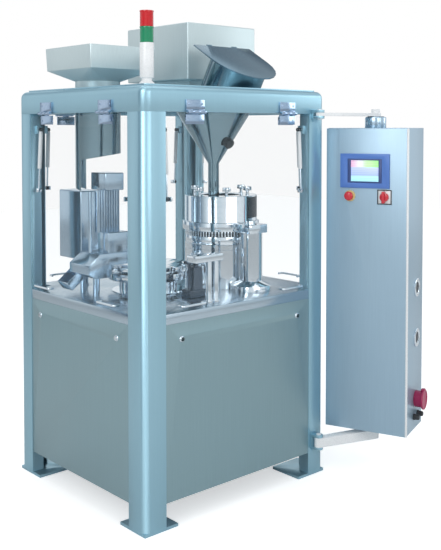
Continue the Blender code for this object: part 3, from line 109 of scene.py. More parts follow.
# %% Studio
scene = bpy.context.scene
scene.view_settings.view_transform = "Standard"
world = bpy.data.worlds.new("studio")
scene.world = world
world.use_nodes = True
sky = world.node_tree
sky.nodes.clear()


def fill(node, sockets):
    """Set the named sockets of a shader node."""
    for socket, value in sockets.items():
        node.inputs[socket].default_value = value


def add(tree, kind, sockets=None, **fields):
    """Add a shader node, set its fields and fill its sockets."""
    node = tree.nodes.new("ShaderNode" + kind)
    for field, value in fields.items():
        setattr(node, field, value)
    fill(node, sockets or {})
    return node


def wire(tree, *links):
    """Link nodes: (from, its output, to, its input)."""
    for source, outlet, target, inlet in links:
        tree.links.new(source.outputs[outlet], target.inputs[inlet])


def ramp(node, *stops):
    """Set the stops of a colour ramp: (place, colour)."""
    points = node.color_ramp.elements
    while len(points) > 1:
        points.remove(points[-1])
    points[0].position, points[0].color = stops[0][0], (*stops[0][1], 1)
    for place, colour in stops[1:]:
        points.new(place).color = (*colour, 1)


where = add(sky, "TexCoord")
split = add(sky, "SeparateXYZ")
azimuth = add(sky, "Math", operation="ARCTAN2")
share = add(sky, "MapRange", {"From Min": -math.pi, "From Max": math.pi})
bands = add(sky, "ValToRGB")
white, pale, flag = (1.0, 1.0, 1.0), (0.74, 0.82, 0.86), (0.1, 0.17, 0.24)
bright_box = (1.25, 1.25, 1.25)
ramp(bands, (0.0, pale), (0.03, bright_box), (0.08, bright_box), (0.11, pale), (0.19, white),
     (0.225, flag), (0.25, pale), (0.3, white), (0.4, pale), (0.425, flag), (0.445, pale), (0.52, white),
     (0.6, flag), (0.63, white), (0.72, pale), (0.76, flag), (0.8, white), (0.87, white), (0.9, flag),
     (0.94, flag), (1.0, pale))
height = add(sky, "ValToRGB")
ramp(height, (0.0, (0.62, 0.68, 0.72)), (0.45, (0.9, 0.93, 0.95)), (1.0, (1.0, 1.0, 1.0)))
rise = add(sky, "MapRange", {"From Min": -1.0})
tint = add(sky, "MixRGB", {"Fac": 1.0}, blend_type="MULTIPLY")
rays = add(sky, "LightPath")
seen = add(sky, "Math", operation="MAXIMUM")
mirrored = add(sky, "MixRGB", {"Color2": (1, 1, 1, 1)})
soft = add(sky, "Background", {"Strength": 0.62})
bright = add(sky, "Background", {"Strength": 1.0})
choice = add(sky, "MixShader")
out = add(sky, "OutputWorld")
wire(sky, (where, "Generated", split, 0), (split, "Y", azimuth, 0),
     (split, "X", azimuth, 1), (azimuth, 0, share, "Value"),
     (share, "Result", bands, "Fac"), (split, "Z", rise, "Value"),
     (rise, "Result", height, "Fac"), (bands, "Color", tint, "Color1"),
     (height, "Color", tint, "Color2"), (rays, "Is Camera Ray", seen, 0),
     (rays, "Is Transmission Ray", seen, 1), (seen, 0, mirrored, "Fac"),
     (tint, "Color", mirrored, "Color1"), (mirrored, "Color", bright, "Color"),
     (height, "Color", soft, "Color"))
lit = add(sky, "Math", operation="MAXIMUM")
wire(sky, (seen, 0, lit, 0), (rays, "Is Glossy Ray", lit, 1),
     (lit, 0, choice, "Fac"), (soft, 0, choice, 1),
     (bright, 0, choice, 2), (choice, 0, out, "Surface"))


def softbox(name, place, aim, size, power):
    lamp = bpy.data.lights.new(name, "AREA")
    lamp.shape = "RECTANGLE"
    lamp.size, lamp.size_y = size
    lamp.energy = power
    holder = bpy.data.objects.new(name, lamp)
    scene.collection.objects.link(holder)
    holder.location = place
    holder.rotation_euler = (Vector(aim) - Vector(place)).to_track_quat("-Z", "Y").to_euler()


softbox("key", (-4.2, -1.6, 3.2), (0, 0, 1), (2.2, 3.0), 62)
softbox("front", (-0.6, -4.6, 2.6), (0, 0, 1), (3.0, 2.4), 38)
softbox("right", (4.0, -2.4, 2.6), (0.3, 0, 1), (1.6, 2.6), 30)
softbox("top", (0, 0.4, 4.4), (0, 0, 0), (3.2, 3.2), 26)
print("lamps", len(bpy.data.lights))

# %% [markdown]
# The floor is white to the camera and to mirrors, and keeps the soft shadow under the feet. A shadow is
# got by mixing a matte white with a white glow, so the floor never outshines the machine.

# %% Floor
bpy.ops.object.select_all(action="DESELECT")
bpy.ops.mesh.primitive_plane_add(size=24, location=(0, 0, -0.0005))
floor = bpy.context.object
floor.name = "floor"
ground = bpy.data.materials.new("floor_white")
ground.use_nodes = True
net = ground.node_tree
net.nodes.clear()
matte = add(net, "BsdfDiffuse", {"Color": (0.86, 0.88, 0.89, 1)})
glow = add(net, "Emission", {"Strength": 0.5})
blend = add(net, "AddShader")
plain = add(net, "BsdfDiffuse", {"Color": (0.8, 0.82, 0.83, 1)})
path = add(net, "LightPath")
either = add(net, "Math", operation="MAXIMUM")
pick = add(net, "MixShader")
end = add(net, "OutputMaterial")
wire(net, (matte, 0, blend, 0), (glow, 0, blend, 1),
     (path, "Is Camera Ray", either, 0), (path, "Is Transmission Ray", either, 1),
     (either, 0, pick, "Fac"), (plain, 0, pick, 1),
     (blend, 0, pick, 2), (pick, 0, end, "Surface"))
floor.data.materials.append(ground)
print("floor", floor.name)

# %% [markdown]
# ## Finishes
# Sheet steel on such a machine is brushed: fine scratches run one way, so a noise stretched along the
# grain colours the steel, varies its roughness and gives a slight relief. A second, large and faint noise
# keeps big panels from looking printed. Paint uses the same recipe with round grain, which reads as the
# skin of an orange. One function makes them all from a few numbers.

# %% Surface recipe


def surface(name, light, dark, rough, metallic, grain, relief, coat=0.0, clouds=0.25):
    """A finish whose colour runs from dark to light; one number is a round grain, three a brushed one."""
    material = bpy.data.materials.new(name)
    material.use_nodes = True
    tree = material.node_tree
    shader = tree.nodes["Principled BSDF"]
    fill(shader, {"Metallic": metallic, "Coat Weight": coat})
    place = add(tree, "TexCoord")
    stretch = add(tree, "Mapping", {"Scale": grain if isinstance(grain, tuple) else (grain,) * 3})
    fine = add(tree, "TexNoise", {"Scale": 1.0, "Detail": 5.0})
    broad = add(tree, "TexNoise", {"Scale": 2.3, "Detail": 2.0})
    mixed = add(tree, "MixRGB", {"Fac": clouds})
    colours = add(tree, "ValToRGB")
    ramp(colours, (0.32, dark), (0.68, light))
    rub = add(tree, "MapRange", {"From Min": 0.3, "From Max": 0.7, "To Min": rough[0], "To Max": rough[1]})
    bump = add(tree, "Bump", {"Strength": relief, "Distance": 0.0006})
    wire(tree, (place, "Object", stretch, "Vector"), (stretch, 0, fine, "Vector"),
         (place, "Object", broad, "Vector"), (fine, "Fac", mixed, "Color1"),
         (broad, "Fac", mixed, "Color2"), (mixed, 0, colours, "Fac"),
         (colours, "Color", shader, "Base Color"), (fine, "Fac", rub, "Value"),
         (rub, "Result", shader, "Roughness"), (fine, "Fac", bump, "Height"),
         (bump, "Normal", shader, "Normal"))
    return material


# %% [markdown]
# Every finish gives its light and dark colour, the range of its roughness, how metallic it is, its
# grain and its relief. The steels differ mainly in how smooth they are: the panels are brushed, the
# turned work is polished, the castings lie between. The polished hopper steel is also darker, by painted
# shade.

# %% Steels and paints
blue_paint = surface(
    "blue_paint", (0.36, 0.57, 0.67), (0.335, 0.54, 0.64), (0.33, 0.38),
    0.85, (160, 160, 2.5), 0.002, clouds=0.5)
panel_steel = surface(
    "panel_steel", (0.29, 0.42, 0.46), (0.26, 0.38, 0.42), (0.3, 0.4), 0.6, (420, 420, 4), 0.03)
cabinet_paint = surface(
    "cabinet_paint", (0.37, 0.51, 0.62), (0.335, 0.47, 0.58), (0.28, 0.38), 0.45, (420, 420, 5), 0.02)
bare_steel = surface(
    "bare_steel", (0.52, 0.61, 0.68), (0.42, 0.52, 0.6), (0.16, 0.28), 0.95, (8, 300, 300), 0.03)
mirror_steel = surface(
    "mirror_steel", (0.8, 0.85, 0.89), (0.7, 0.77, 0.83), (0.05, 0.11), 1.0, (9, 9, 420), 0.008)
# The polished hopper steel is darkened well below bare steel: painted shade, standing in for the dark
# surroundings that the cone and the capsule chute mirror.
cone_steel = surface(
    "cone_steel", (0.25, 0.35, 0.4), (0.17, 0.27, 0.32), (0.09, 0.16), 1.0, (6, 6, 320), 0.01)
hinge_steel = surface("hinge_steel", (0.42, 0.53, 0.68), (0.34, 0.45, 0.6), (0.1, 0.18), 1.0, 90, 0.02)
cast_steel = surface("cast_steel", (0.48, 0.6, 0.7), (0.4, 0.52, 0.63), (0.13, 0.22), 0.95, 520, 0.02)
hopper_steel = surface(
    "hopper_steel", (0.6, 0.7, 0.72), (0.54, 0.64, 0.66), (0.32, 0.42), 0.4, (420, 420, 6), 0.025)
lid_steel = surface(
    "lid_steel", (0.17, 0.26, 0.32), (0.14, 0.22, 0.28), (0.2, 0.28), 0.85, (420, 8, 420), 0.015)
black_steel = surface("black_steel", (0.045, 0.055, 0.07), (0.02, 0.025, 0.035), (0.28, 0.42), 0.5, 260, 0.05)
dark_chrome = surface("dark_chrome", (0.12, 0.15, 0.19), (0.07, 0.09, 0.12), (0.14, 0.24), 0.95, 260, 0.02)
grey_casting = surface("grey_casting", (0.2, 0.25, 0.27), (0.14, 0.18, 0.2), (0.45, 0.6), 0.2, 190, 0.35)
white_enamel = surface(
    "white_enamel", (0.84, 0.86, 0.87), (0.78, 0.8, 0.82), (0.24, 0.32), 0.0, 260, 0.02, coat=0.2)
blue_plastic = surface("blue_plastic", (0.1, 0.23, 0.62), (0.085, 0.19, 0.55), (0.32, 0.42), 0.0, 700, 0.05)
navy_plastic = surface("navy_plastic", (0.05, 0.09, 0.26), (0.035, 0.065, 0.2), (0.35, 0.45), 0.0, 700, 0.08)
red_plastic = surface(
    "red_plastic", (0.68, 0.03, 0.05), (0.58, 0.02, 0.04), (0.2, 0.3), 0.0, 300, 0.03, coat=0.3)
crimson_plastic = surface(
    "crimson_plastic", (0.42, 0.02, 0.1), (0.34, 0.015, 0.08), (0.3, 0.42), 0.0, 300, 0.05)
cream_plastic = surface("cream_plastic", (0.86, 0.66, 0.3), (0.78, 0.56, 0.22), (0.3, 0.4), 0.0, 300, 0.04)
black_rubber = surface("black_rubber", (0.04, 0.045, 0.05), (0.02, 0.022, 0.026), (0.55, 0.7), 0.0, 300, 0.15)
print("finishes", len(bpy.data.materials))

# %% [markdown]
# The doors are thin, clear acrylic: what one sees is a faint cool gloss. A refracting glass was weighed and
# left, because a mirror behind it would lose its dark reflections. So the pane lets nearly all through by
# its alpha and keeps a little gloss. The lamp lenses are deep coloured and glossy, with a faint painted glow
# for the light they gather from around.

# %% Clear finishes
acrylic = surface("acrylic", (0.66, 0.8, 0.86), (0.6, 0.76, 0.83), (0.03, 0.06), 0.0, 30, 0.0)
acrylic_edge = surface("acrylic_edge", (0.42, 0.66, 0.74), (0.34, 0.58, 0.68), (0.1, 0.18), 0.0, 60, 0.0)
for clear, alpha in ((acrylic, 0.03), (acrylic_edge, 0.5)):
    fill(clear.node_tree.nodes["Principled BSDF"], {"Alpha": alpha})


def lens_finish(name, colour):
    """A deep glossy plastic with a faint painted glow: an emission in place of the light a lens gathers from
    around.
    """
    deep = tuple(0.8 * c for c in colour)
    material = surface(name, colour, deep, (0.08, 0.14), 0.0, (60, 60, 400), 0.01, coat=0.6)
    # The emission is painted light: a faint glow in the lens's own colour, standing in for light gathered
    # from around.
    fill(material.node_tree.nodes["Principled BSDF"],
         {"IOR": 1.49, "Emission Color": (*colour, 1), "Emission Strength": 0.1})
    return material


red_lens = lens_finish("red_lens", (0.6, 0.001, 0.008))
green_lens = lens_finish("green_lens", (0.0005, 0.25, 0.11))
print("clear finishes", acrylic.name, red_lens.name, green_lens.name)

# %% [markdown]
# ## Working by hand
# These helpers do what a modeller does with the mouse: deselect all, add a primitive at its size, shape
# it in edit mode, and round its edges. Each finished piece is joined, cleaned and put at the world's
# origin with its place in its mesh.

# %% Helpers
MERGE = 0.00002


def let_go():
    if bpy.context.mode != "OBJECT":
        bpy.ops.object.mode_set(mode="OBJECT")
    bpy.ops.object.select_all(action="DESELECT")


def only(piece):
    let_go()
    piece.select_set(True)
    bpy.context.view_layer.objects.active = piece


def editing(piece, kind="FACE", everything=False):
    """Enter edit mode with nothing, or everything, selected."""
    only(piece)
    bpy.ops.object.mode_set(mode="EDIT")
    bpy.ops.mesh.select_mode(type=kind)
    bpy.ops.mesh.select_all(action="SELECT" if everything else "DESELECT")


def choose_faces(piece, test):
    """Select the faces whose middle and normal pass a test."""
    editing(piece)
    bpy.ops.object.mode_set(mode="OBJECT")
    for face in piece.data.polygons:
        face.select = test(face.center, face.normal)
    bpy.ops.object.mode_set(mode="EDIT")


def box_piece(low, high):
    """A cube brought to fill the space between two corners."""
    let_go()
    middle = [(a + b) / 2 for a, b in zip(low, high)]
    bpy.ops.mesh.primitive_cube_add(size=1, location=middle)
    piece = bpy.context.object
    piece.scale = [b - a for a, b in zip(low, high)]
    bpy.ops.object.transform_apply(location=True, rotation=True, scale=True)
    return piece


def rod_piece(start, end, radius, sides=24, thin=None):
    """A round bar between two points; thin is the radius at its end."""
    let_go()
    start, end = Vector(start), Vector(end)
    along = end - start
    bpy.ops.mesh.primitive_cone_add(vertices=sides, radius1=radius, radius2=radius if thin is None else thin,
                                    depth=along.length)
    piece = bpy.context.object
    piece.rotation_euler = along.to_track_quat("Z", "Y").to_euler()
    piece.location = (start + end) / 2
    bpy.ops.object.transform_apply(location=True, rotation=True, scale=True)
    return piece


def merged():
    """Merge doubles, turn the faces outward and leave edit mode."""
    bpy.ops.mesh.select_all(action="SELECT")
    bpy.ops.mesh.remove_doubles(threshold=MERGE)
    bpy.ops.mesh.normals_make_consistent(inside=False)
    bpy.ops.object.mode_set(mode="OBJECT")


def turned_piece(profile, centre, axis="Z", steps=72):
    """A profile of (radius, height) drawn point by point and spun about an upright axis."""
    let_go()
    bpy.ops.mesh.primitive_plane_add(size=0.001, location=(0, 0, 0))
    piece = bpy.context.object
    editing(piece, "VERT", True)
    bpy.ops.mesh.merge(type="CENTER")
    bpy.ops.transform.translate(value=(profile[0][0], 0, profile[0][1]))
    for (r0, z0), (r1, z1) in zip(profile, profile[1:]):
        bpy.ops.mesh.extrude_region_move(TRANSFORM_OT_translate={"value": (r1 - r0, 0, z1 - z0)})
    bpy.ops.mesh.select_all(action="SELECT")
    bpy.ops.mesh.spin(steps=steps, angle=math.tau, center=(0, 0, 0), axis=(0, 0, 1))
    merged()
    if axis == "X":
        piece.rotation_euler = (0, math.pi / 2, 0)
    if axis == "-Y":
        piece.rotation_euler = (math.pi / 2, 0, 0)
    piece.location = centre
    bpy.ops.object.transform_apply(location=True, rotation=True, scale=True)
    return piece


def placed(piece, matrix):
    """Move a piece by a matrix, in its mesh."""
    only(piece)
    piece.matrix_world = matrix @ piece.matrix_world
    bpy.ops.object.transform_apply(location=True, rotation=True, scale=True)
    return piece


def joined(parts):
    let_go()
    for part in parts:
        part.select_set(True)
    bpy.context.view_layer.objects.active = parts[0]
    if len(parts) > 1:
        bpy.ops.object.join()
    return bpy.context.view_layer.objects.active


def copied(piece):
    """A copy with its own mesh."""
    only(piece)
    bpy.ops.object.duplicate()
    return bpy.context.object


def round_edges(piece, width, segments=2, angle=32):
    only(piece)
    step = piece.modifiers.new("edges", "BEVEL")
    step.width = width
    step.segments = segments
    step.limit_method = "ANGLE"
    step.angle_limit = math.radians(angle)
    bpy.ops.object.modifier_apply(modifier=step.name)


def thicken(piece, wall):
    """Give a skin a wall inward."""
    only(piece)
    step = piece.modifiers.new("wall", "SOLIDIFY")
    step.thickness = wall
    step.offset = -1.0
    bpy.ops.object.modifier_apply(modifier=step.name)
    return piece


def done(parts, name, material, body, edge=0.0, stands_for=()):
    """Join the parts, round their edges, give them their finish and let them ride on a body."""
    piece = joined(parts)
    piece.name = name
    piece.data.name = name
    if edge:
        round_edges(piece, edge)
    only(piece)
    bpy.ops.object.shade_smooth_by_angle(angle=math.radians(35))
    piece.data.materials.clear()
    piece.data.materials.append(material)
    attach(piece, body)
    if stands_for:
        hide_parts(*stands_for)
    return piece


def count_of(start):
    """How many objects have a name that starts so."""
    return len([o for o in bpy.data.objects if o.name.startswith(start)])


print("helpers ready")

# %% [markdown]
# ## Solids whose shape is right
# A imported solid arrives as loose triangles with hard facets. A copy of it is merged, its flat faces are
# dissolved into whole ones, its edges get the small radius that folded or milled steel has, and it is
# shaded smooth. The copy then stands for the solid.

# %% Redraw solids


def redrawn(node, material, body, edge):
    """A merged and rounded copy of a solid that stands for it."""
    mesh = frame["nodes"][node].data.copy()
    piece = bpy.data.objects.new(node + "_skin", mesh)
    scene.collection.objects.link(piece)
    editing(piece, "VERT", True)
    bpy.ops.mesh.remove_doubles(threshold=MERGE)
    bpy.ops.mesh.dissolve_limited(angle_limit=math.radians(1.0))
    bpy.ops.object.mode_set(mode="OBJECT")
    if edge:
        round_edges(piece, edge)
    return done([piece], node + "_skin", material, body, stands_for=[node])


for place in ("front_left", "front_right", "rear_left", "rear_right"):
    redrawn("post_" + place, blue_paint, "frame", 0.0008)
for node, material, slot, edge in (
        ("base_frame", bare_steel, "satin_steel", 0.001),
        ("table_plate", bare_steel, "satin_steel", 0.0008),
        ("deck_plate", blue_paint, "painted_blue", 0.0008),
        ("capsule_hopper", hopper_steel, "pale_steel", 0.0008),
        # The chute's finish carries painted shade: its colour is darkened for the dark surroundings the
        # polished chute mirrors.
        ("capsule_chute", cone_steel, "polished_steel", 0.0004),
        ("feeder_housing", cast_steel, "satin_steel", 0.001),
        ("sorter_box", cast_steel, "satin_steel", 0.001),
        ("rear_housing", hopper_steel, "pale_steel", 0.001),
        ("closing_station", mirror_steel, "polished_steel", 0.0008),
        ("ejection_station", dark_chrome, "dark_steel", 0.0008),
        ("drive_unit", grey_casting, "cast_iron", 0.001)):
    redrawn(node, material, "frame", edge)
for side in ("front", "right", "rear", "left"):
    redrawn("panel_" + side, panel_steel, "frame", 0.0006)
redrawn("camshaft", bare_steel, "camshaft", 0.0006)
redrawn("capsule_magazine", cast_steel, "capsule_magazine", 0.0006)
redrawn("turret", mirror_steel, "turret", 0.0008)
redrawn("dosing_disc", mirror_steel, "dosing_disc", 0.0005)
for arm in ("upper_arm", "lower_arm"):
    redrawn(arm, white_enamel, "swing_arm", 0.0)
redrawn("hopper_lid", lid_steel, "hopper_lid", 0.0008)

# %% [markdown]
# ## Beam ring
# The top ring is folded sheet, round at its corners and over its top edge. It is a cube whose upright
# edges and then its top edge are bevelled, with the middle cut out by a Boolean. A swept profile was
# weighed against it and left, since a bevel keeps the two radii that meet at the corner true.

# %% Beam ring
HANDS = (("left", -1), ("right", 1))
SIDES = {"front": (WIDTH, 0, (WIDTH / 2, 0)), "right": (DEPTH, 90, (WIDTH, DEPTH / 2)),
         "rear": (WIDTH, 180, (WIDTH / 2, DEPTH)), "left": (DEPTH, 270, (0, DEPTH / 2))}


def along_side(side):
    """Local X runs along the side and local -Y points out of the machine."""
    _, degrees, (x, y) = SIDES[side]
    return Matrix.Translation(spot(x, y, 0)) @ Matrix.Rotation(math.radians(degrees), 4, "Z")


def all_ends():
    """Each end of each side: the side, the hand and its sign, half the side's width and its place."""
    for side, (width, _, _) in SIDES.items():
        for hand, end in HANDS:
            yield side, hand, end, width / 2, along_side(side)


def choose_edges(piece, test):
    """Select the edges whose two ends pass a test."""
    editing(piece, "EDGE")
    bpy.ops.object.mode_set(mode="OBJECT")
    points = piece.data.vertices
    for edge in piece.data.edges:
        edge.select = test(*(points[i].co for i in edge.vertices))
    bpy.ops.object.mode_set(mode="EDIT")


def cut_away(piece, *tools):
    """Take the space of the tools out of a piece."""
    for tool in tools:
        only(piece)
        step = piece.modifiers.new("cut", "BOOLEAN")
        step.operation = "DIFFERENCE"
        step.solver = "EXACT"
        step.object = tool
        bpy.ops.object.modifier_apply(modifier=step.name)
        bpy.data.objects.remove(tool)
    return piece


RING_WIDE = 0.062
ring = box_piece(spot(0, 0, BEAM_BOTTOM), spot(WIDTH, DEPTH, BEAM_TOP))
choose_edges(ring, lambda a, b: abs(a.z - b.z) > 0.05)
bpy.ops.mesh.bevel(offset=0.038, segments=12)
choose_edges(ring, lambda a, b: min(a.z, b.z) > BEAM_TOP - 0.001)
bpy.ops.mesh.bevel(offset=0.03, segments=10)
cut_away(ring, box_piece(spot(RING_WIDE, RING_WIDE, BEAM_BOTTOM - 0.01),
                         spot(WIDTH - RING_WIDE, DEPTH - RING_WIDE, BEAM_TOP + 0.01)))
done([ring], "beam_ring", blue_paint, "frame", 0.0006, ["top_frame"])
print("beam ring faces", len(ring.data.polygons))

# %% [markdown]
# ## Door hinges
# Each door hangs on two clamp hinges of polished cast steel. The upper half is screwed to the beam and
# carries the pin. The lower half is bored and clamps the pane. Both are modelled once at the origin, with
# the pin along X, and copied to their eight places.

# %% Door hinges
HINGE_OUT, HINGE_INSET = 0.012, 0.25


def hinge_half(way):
    """A leaf with its screws and knuckles; way is 1 above the pin and -1 below it."""
    face = HINGE_OUT - 0.0001 if way > 0 else HINGE_OUT + 0.0029
    low, high = sorted((way * 0.0096, way * 0.048))
    leaf = box_piece((-0.047, face - 0.006, low), (0.047, face, high))
    parts = [leaf]
    spans = ((-0.0468, -0.0157), (0.0157, 0.0468)) if way > 0 else ((-0.0152, 0.0152),)
    for start, end in spans:
        web = sorted((way * 0.0045, way * 0.0125))
        parts.append(box_piece((start, face - 0.0058, web[0]), (end, face - 0.0004, web[1])))
        length = (end - start) / 2
        tube = [(0.0034, -length), (0.0075, -length), (0.0075, length), (0.0034, length), (0.0034, -length)]
        if way > 0:
            tube = [(0.0001, -length), (0.0075, -length), (0.0075, length), (0.0001, length)]
        parts.append(turned_piece(tube, ((start + end) / 2, 0, 0), "X", 28))
    if way > 0:
        parts.append(rod_piece((-0.016, 0, 0), (0.016, 0, 0), 0.003, 20))
    for x in (-0.034, 0.034):
        z = way * 0.032
        screw = [(0.0001, 0.0), (0.0045, 0.0), (0.0042, 0.001), (0.0022, 0.0016), (0.0021, 0.0007),
                 (0.0001, 0.0007)]
        parts.append(turned_piece(screw, (x, face - 0.006, z), "-Y", 20))
    return joined(parts)


halves = {1: hinge_half(1), -1: hinge_half(-1)}
for side, hand, end, half, place in all_ends():
    at = place @ Matrix.Translation((end * (half - HINGE_INSET), -HINGE_OUT, BEAM_BOTTOM))
    for way, leaf_name, carrier in ((1, "upper", "frame"), (-1, "lower", "door_" + side)):
        done([placed(copied(halves[way]), at)], f"hinge_{leaf_name}_{side}_{hand}", hinge_steel, carrier,
             0.0004)
for half in halves.values():
    bpy.data.objects.remove(half)
print("hinge halves", count_of("hinge_"))

# %% [markdown]
# ## Clear doors
# A door is one pane of acrylic, six millimetres thick, with flame-polished edges. Two bow handles are
# bent from round bar. A bent bar can be a spun circle or a row of circles bridged together: the row was
# chosen, because its ends stay open until they are capped and no face is left inside.

# %% Clear doors


def bent_rod(path, radius, sides=20):
    """Circles set square to a path at each of its points, bridged into one bar and capped."""
    let_go()
    rings = []
    for i, point in enumerate(path):
        before, after = Vector(path[max(i - 1, 0)]), Vector(path[min(i + 1, len(path) - 1)])
        bpy.ops.mesh.primitive_circle_add(vertices=sides, radius=radius, location=point)
        bpy.context.object.rotation_euler = (after - before).to_track_quat("Z", "Y").to_euler()
        rings.append(bpy.context.object)
    bar = joined(rings)
    bpy.ops.object.transform_apply(location=True, rotation=True, scale=True)
    editing(bar, "EDGE", True)
    bpy.ops.mesh.bridge_edge_loops()
    bpy.ops.mesh.select_all(action="SELECT")
    bpy.ops.mesh.fill_holes(sides=0)
    bpy.ops.mesh.normals_make_consistent(inside=False)
    bpy.ops.object.mode_set(mode="OBJECT")
    return bar


def bow(half, foot, out, bend, height, steps=6):
    """The path of a bow handle: out from the pane, round a bend, along, and back."""
    corner_path = [(-half + bend - bend * math.cos(k * math.pi / 2 / steps),
                    out + bend - bend * math.sin(k * math.pi / 2 / steps), height) for k in range(steps + 1)]
    return [(-half, foot, height), *corner_path, *[(-x, y, z) for x, y, z in reversed(corner_path)],
            (half, foot, height)]


HANDLE_INSET = 0.23
PANE_LOW, PANE_HIGH, PANE_OUT, PANE_IN = 0.849, 1.621, 0.003, 0.009
STUD_LOW, STUD_HIGH = 1.281, 1.299
handle = bent_rod(bow(0.06, 0.0029, -0.0223, 0.009, 0.872), 0.005)
for side, (width, _, _) in SIDES.items():
    half, at = width / 2 - POST, along_side(side)
    pane = box_piece((-half + 0.002, PANE_OUT, PANE_LOW), (half - 0.002, PANE_IN, PANE_HIGH))
    door = "door_" + side
    done([placed(pane, at)], "pane_" + side, acrylic, door, 0.0007, [door])
    pane.data.materials.append(acrylic_edge)
    outward = at.to_3x3() @ Vector((0, -1, 0))
    for face in pane.data.polygons:
        face.material_index = 0 if abs(face.normal.dot(outward)) > 0.9 else 1
    for hand, end in HANDS:
        spot_x = Matrix.Translation((end * (width / 2 - HANDLE_INSET), 0, 0))
        bow_piece = placed(copied(handle), at @ spot_x)
        done([bow_piece], f"handle_{side}_{hand}", mirror_steel, door)
        near, far = sorted((end * (half - 0.0323), end * (half - 0.0403)))
        stud = box_piece((near, PANE_IN + 0.0001, STUD_LOW), (far, 0.035, STUD_HIGH))
        done([placed(stud, at)], f"strut_stud_{side}_{hand}", mirror_steel, door, 0.0015)
bpy.data.objects.remove(handle)
print("door pieces", count_of(("pane_", "handle_", "strut_stud")))

# %% [markdown]
# ## Gas struts
# A gas strut is a pressed tube with a polished rod and an eye at each end. The four kinds of piece are
# turned once, along -Z from the upper pivot, then leant to the line of each strut and copied.

# %% Gas struts
STRUT_LEAN, STRUT_DROP = 0.014, 0.27
STRUT_LENGTH = math.hypot(STRUT_LEAN, STRUT_DROP)
ROD_FOOT = 0.0064 - STRUT_LENGTH
eye_ring = [(0.0001, -0.006), (0.0078, -0.006), (0.009, -0.0048), (0.009, 0.0048), (0.0078, 0.006),
            (0.0001, 0.006)]
tube = [(0.0001, -0.0064), (0.0052, -0.0064), (0.009, -0.0125), (0.009, -0.1725), (0.0084, -0.174),
        (0.0043, -0.174), (0.0043, -0.0203), (0.0001, -0.0203)]
rod = [(0.0001, -0.0263), (0.004, -0.0263), (0.004, ROD_FOOT), (0.0001, ROD_FOOT)]
strut_parts = {
    "tube": (turned_piece(tube, (0, 0, 0), steps=28), "strut_tube", white_enamel, "painted_white", True),
    "tube_eye": (turned_piece(eye_ring, (0, 0, 0), "X", 28), "strut_tube", black_steel, "dark_steel", False),
    "rod": (turned_piece(rod, (0, 0, 0), steps=20), "strut_rod", mirror_steel, "polished_steel", True),
    "rod_eye": (turned_piece(eye_ring, (0, 0, -STRUT_LENGTH), "X", 28), "strut_rod", black_steel,
                "dark_steel", False)}
lean = Matrix.Rotation(math.atan2(-STRUT_LEAN, STRUT_DROP), 4, "X")
for side, hand, end, half, place in all_ends():
    at = place @ Matrix.Translation((end * (half - POST - 0.026), 0.04, 1.56)) @ lean
    for kind, (model, body, finish, slot, whole) in strut_parts.items():
        body = f"{body}_{side}_{hand}"
        done([placed(copied(model), at)], f"gas_{kind}_{side}_{hand}", finish, body, 0.0,
             [body] if whole else [])
for model, *_ in strut_parts.values():
    bpy.data.objects.remove(model)
print("strut pieces", count_of("gas_"))

# %% [markdown]
# ## Signal tower
# A white turned body carries a green and a red lens. The lenses are ribbed on the real thing to spread
# the light, so fine grooves are turned in them.

# %% Signal tower
tower = spot(0.0635, 0.0635, 0)
foot = 1.7366
body = turned_piece([(0.0001, foot), (0.0302, foot), (0.0302, foot + 0.0027), (0.0285, foot + 0.0039),
                     (0.0206, foot + 0.0117), (0.0206, foot + 0.0197), (0.0262, foot + 0.0222),
                     (0.0275, foot + 0.0242), (0.0275, 1.8925), (0.0268, 1.8935), (0.0001, 1.8935)],
                    tower, steps=64)
done([body], "tower_body", white_enamel, "frame", 0.0, ["signal_body"])


def lens_profile(low, high):
    """A lens with shallow grooves and a plain rim on top."""
    points = [(0.0001, low), (0.0262, low)]
    grooves = 14
    for k in range(grooves):
        z = low + (high - low) * (k + 0.5) / grooves
        points += [(0.0265, z - 0.0014), (0.0258, z)]
    return points + [(0.0265, high), (0.0275, high + 0.0002), (0.0275, high + 0.004),
                     (0.0262, high + 0.0049), (0.0001, high + 0.0049)]


for colour, glass, low in (("green", green_lens, 1.8939), ("red", red_lens, 1.9552)):
    lens_piece = turned_piece(lens_profile(low, low + 0.056), tower, steps=56)
    done([lens_piece], "tower_lens_" + colour, glass, "frame", 0.0,
         ["signal_lens_" + colour])
print("tower reaches", round(max((v.co.z for v in lens_piece.data.vertices)), 4))

# %% [markdown]
# ## Powder hopper
# Mirror-polished sheet: a spout, a cone under the deck, and above it a filling tube that leans to the
# operator. Its outline changes from round to oval to round again, so rings are set at each height and
# bridged into one skin, and Solidify gives the skin its wall.

# %% Powder hopper
CONE = spot(0.679, 0.377, 0)
LEAN = math.radians(30)


def skin_through(rings, wall):
    """Bridge (centre, x radius, y radius, lean) rings in order and give the skin a wall inward."""
    loops = []
    for centre, rx, ry, lean in rings:
        let_go()
        bpy.ops.mesh.primitive_circle_add(vertices=96, radius=1, location=centre)
        loop = bpy.context.object
        loop.scale = (rx, ry, 1)
        loop.rotation_euler = (lean, 0, 0)
        bpy.ops.object.transform_apply(location=True, rotation=True, scale=True)
        loops.append(loop)
    skin = joined(loops)
    editing(skin, "EDGE", True)
    bpy.ops.mesh.bridge_edge_loops()
    bpy.ops.mesh.select_all(action="SELECT")
    bpy.ops.mesh.normals_make_consistent(inside=False)
    bpy.ops.object.mode_set(mode="OBJECT")
    return thicken(skin, wall)


SPOUT_RADIUS, CONE_RADIUS, TUBE_RADIUS = 0.025, 0.18, 0.128
CONE_LOW, CONE_HIGH, SENSOR_LEVEL = 1.406, 1.655, 1.508


def level(z):
    return CONE + Vector((0, 0, z))


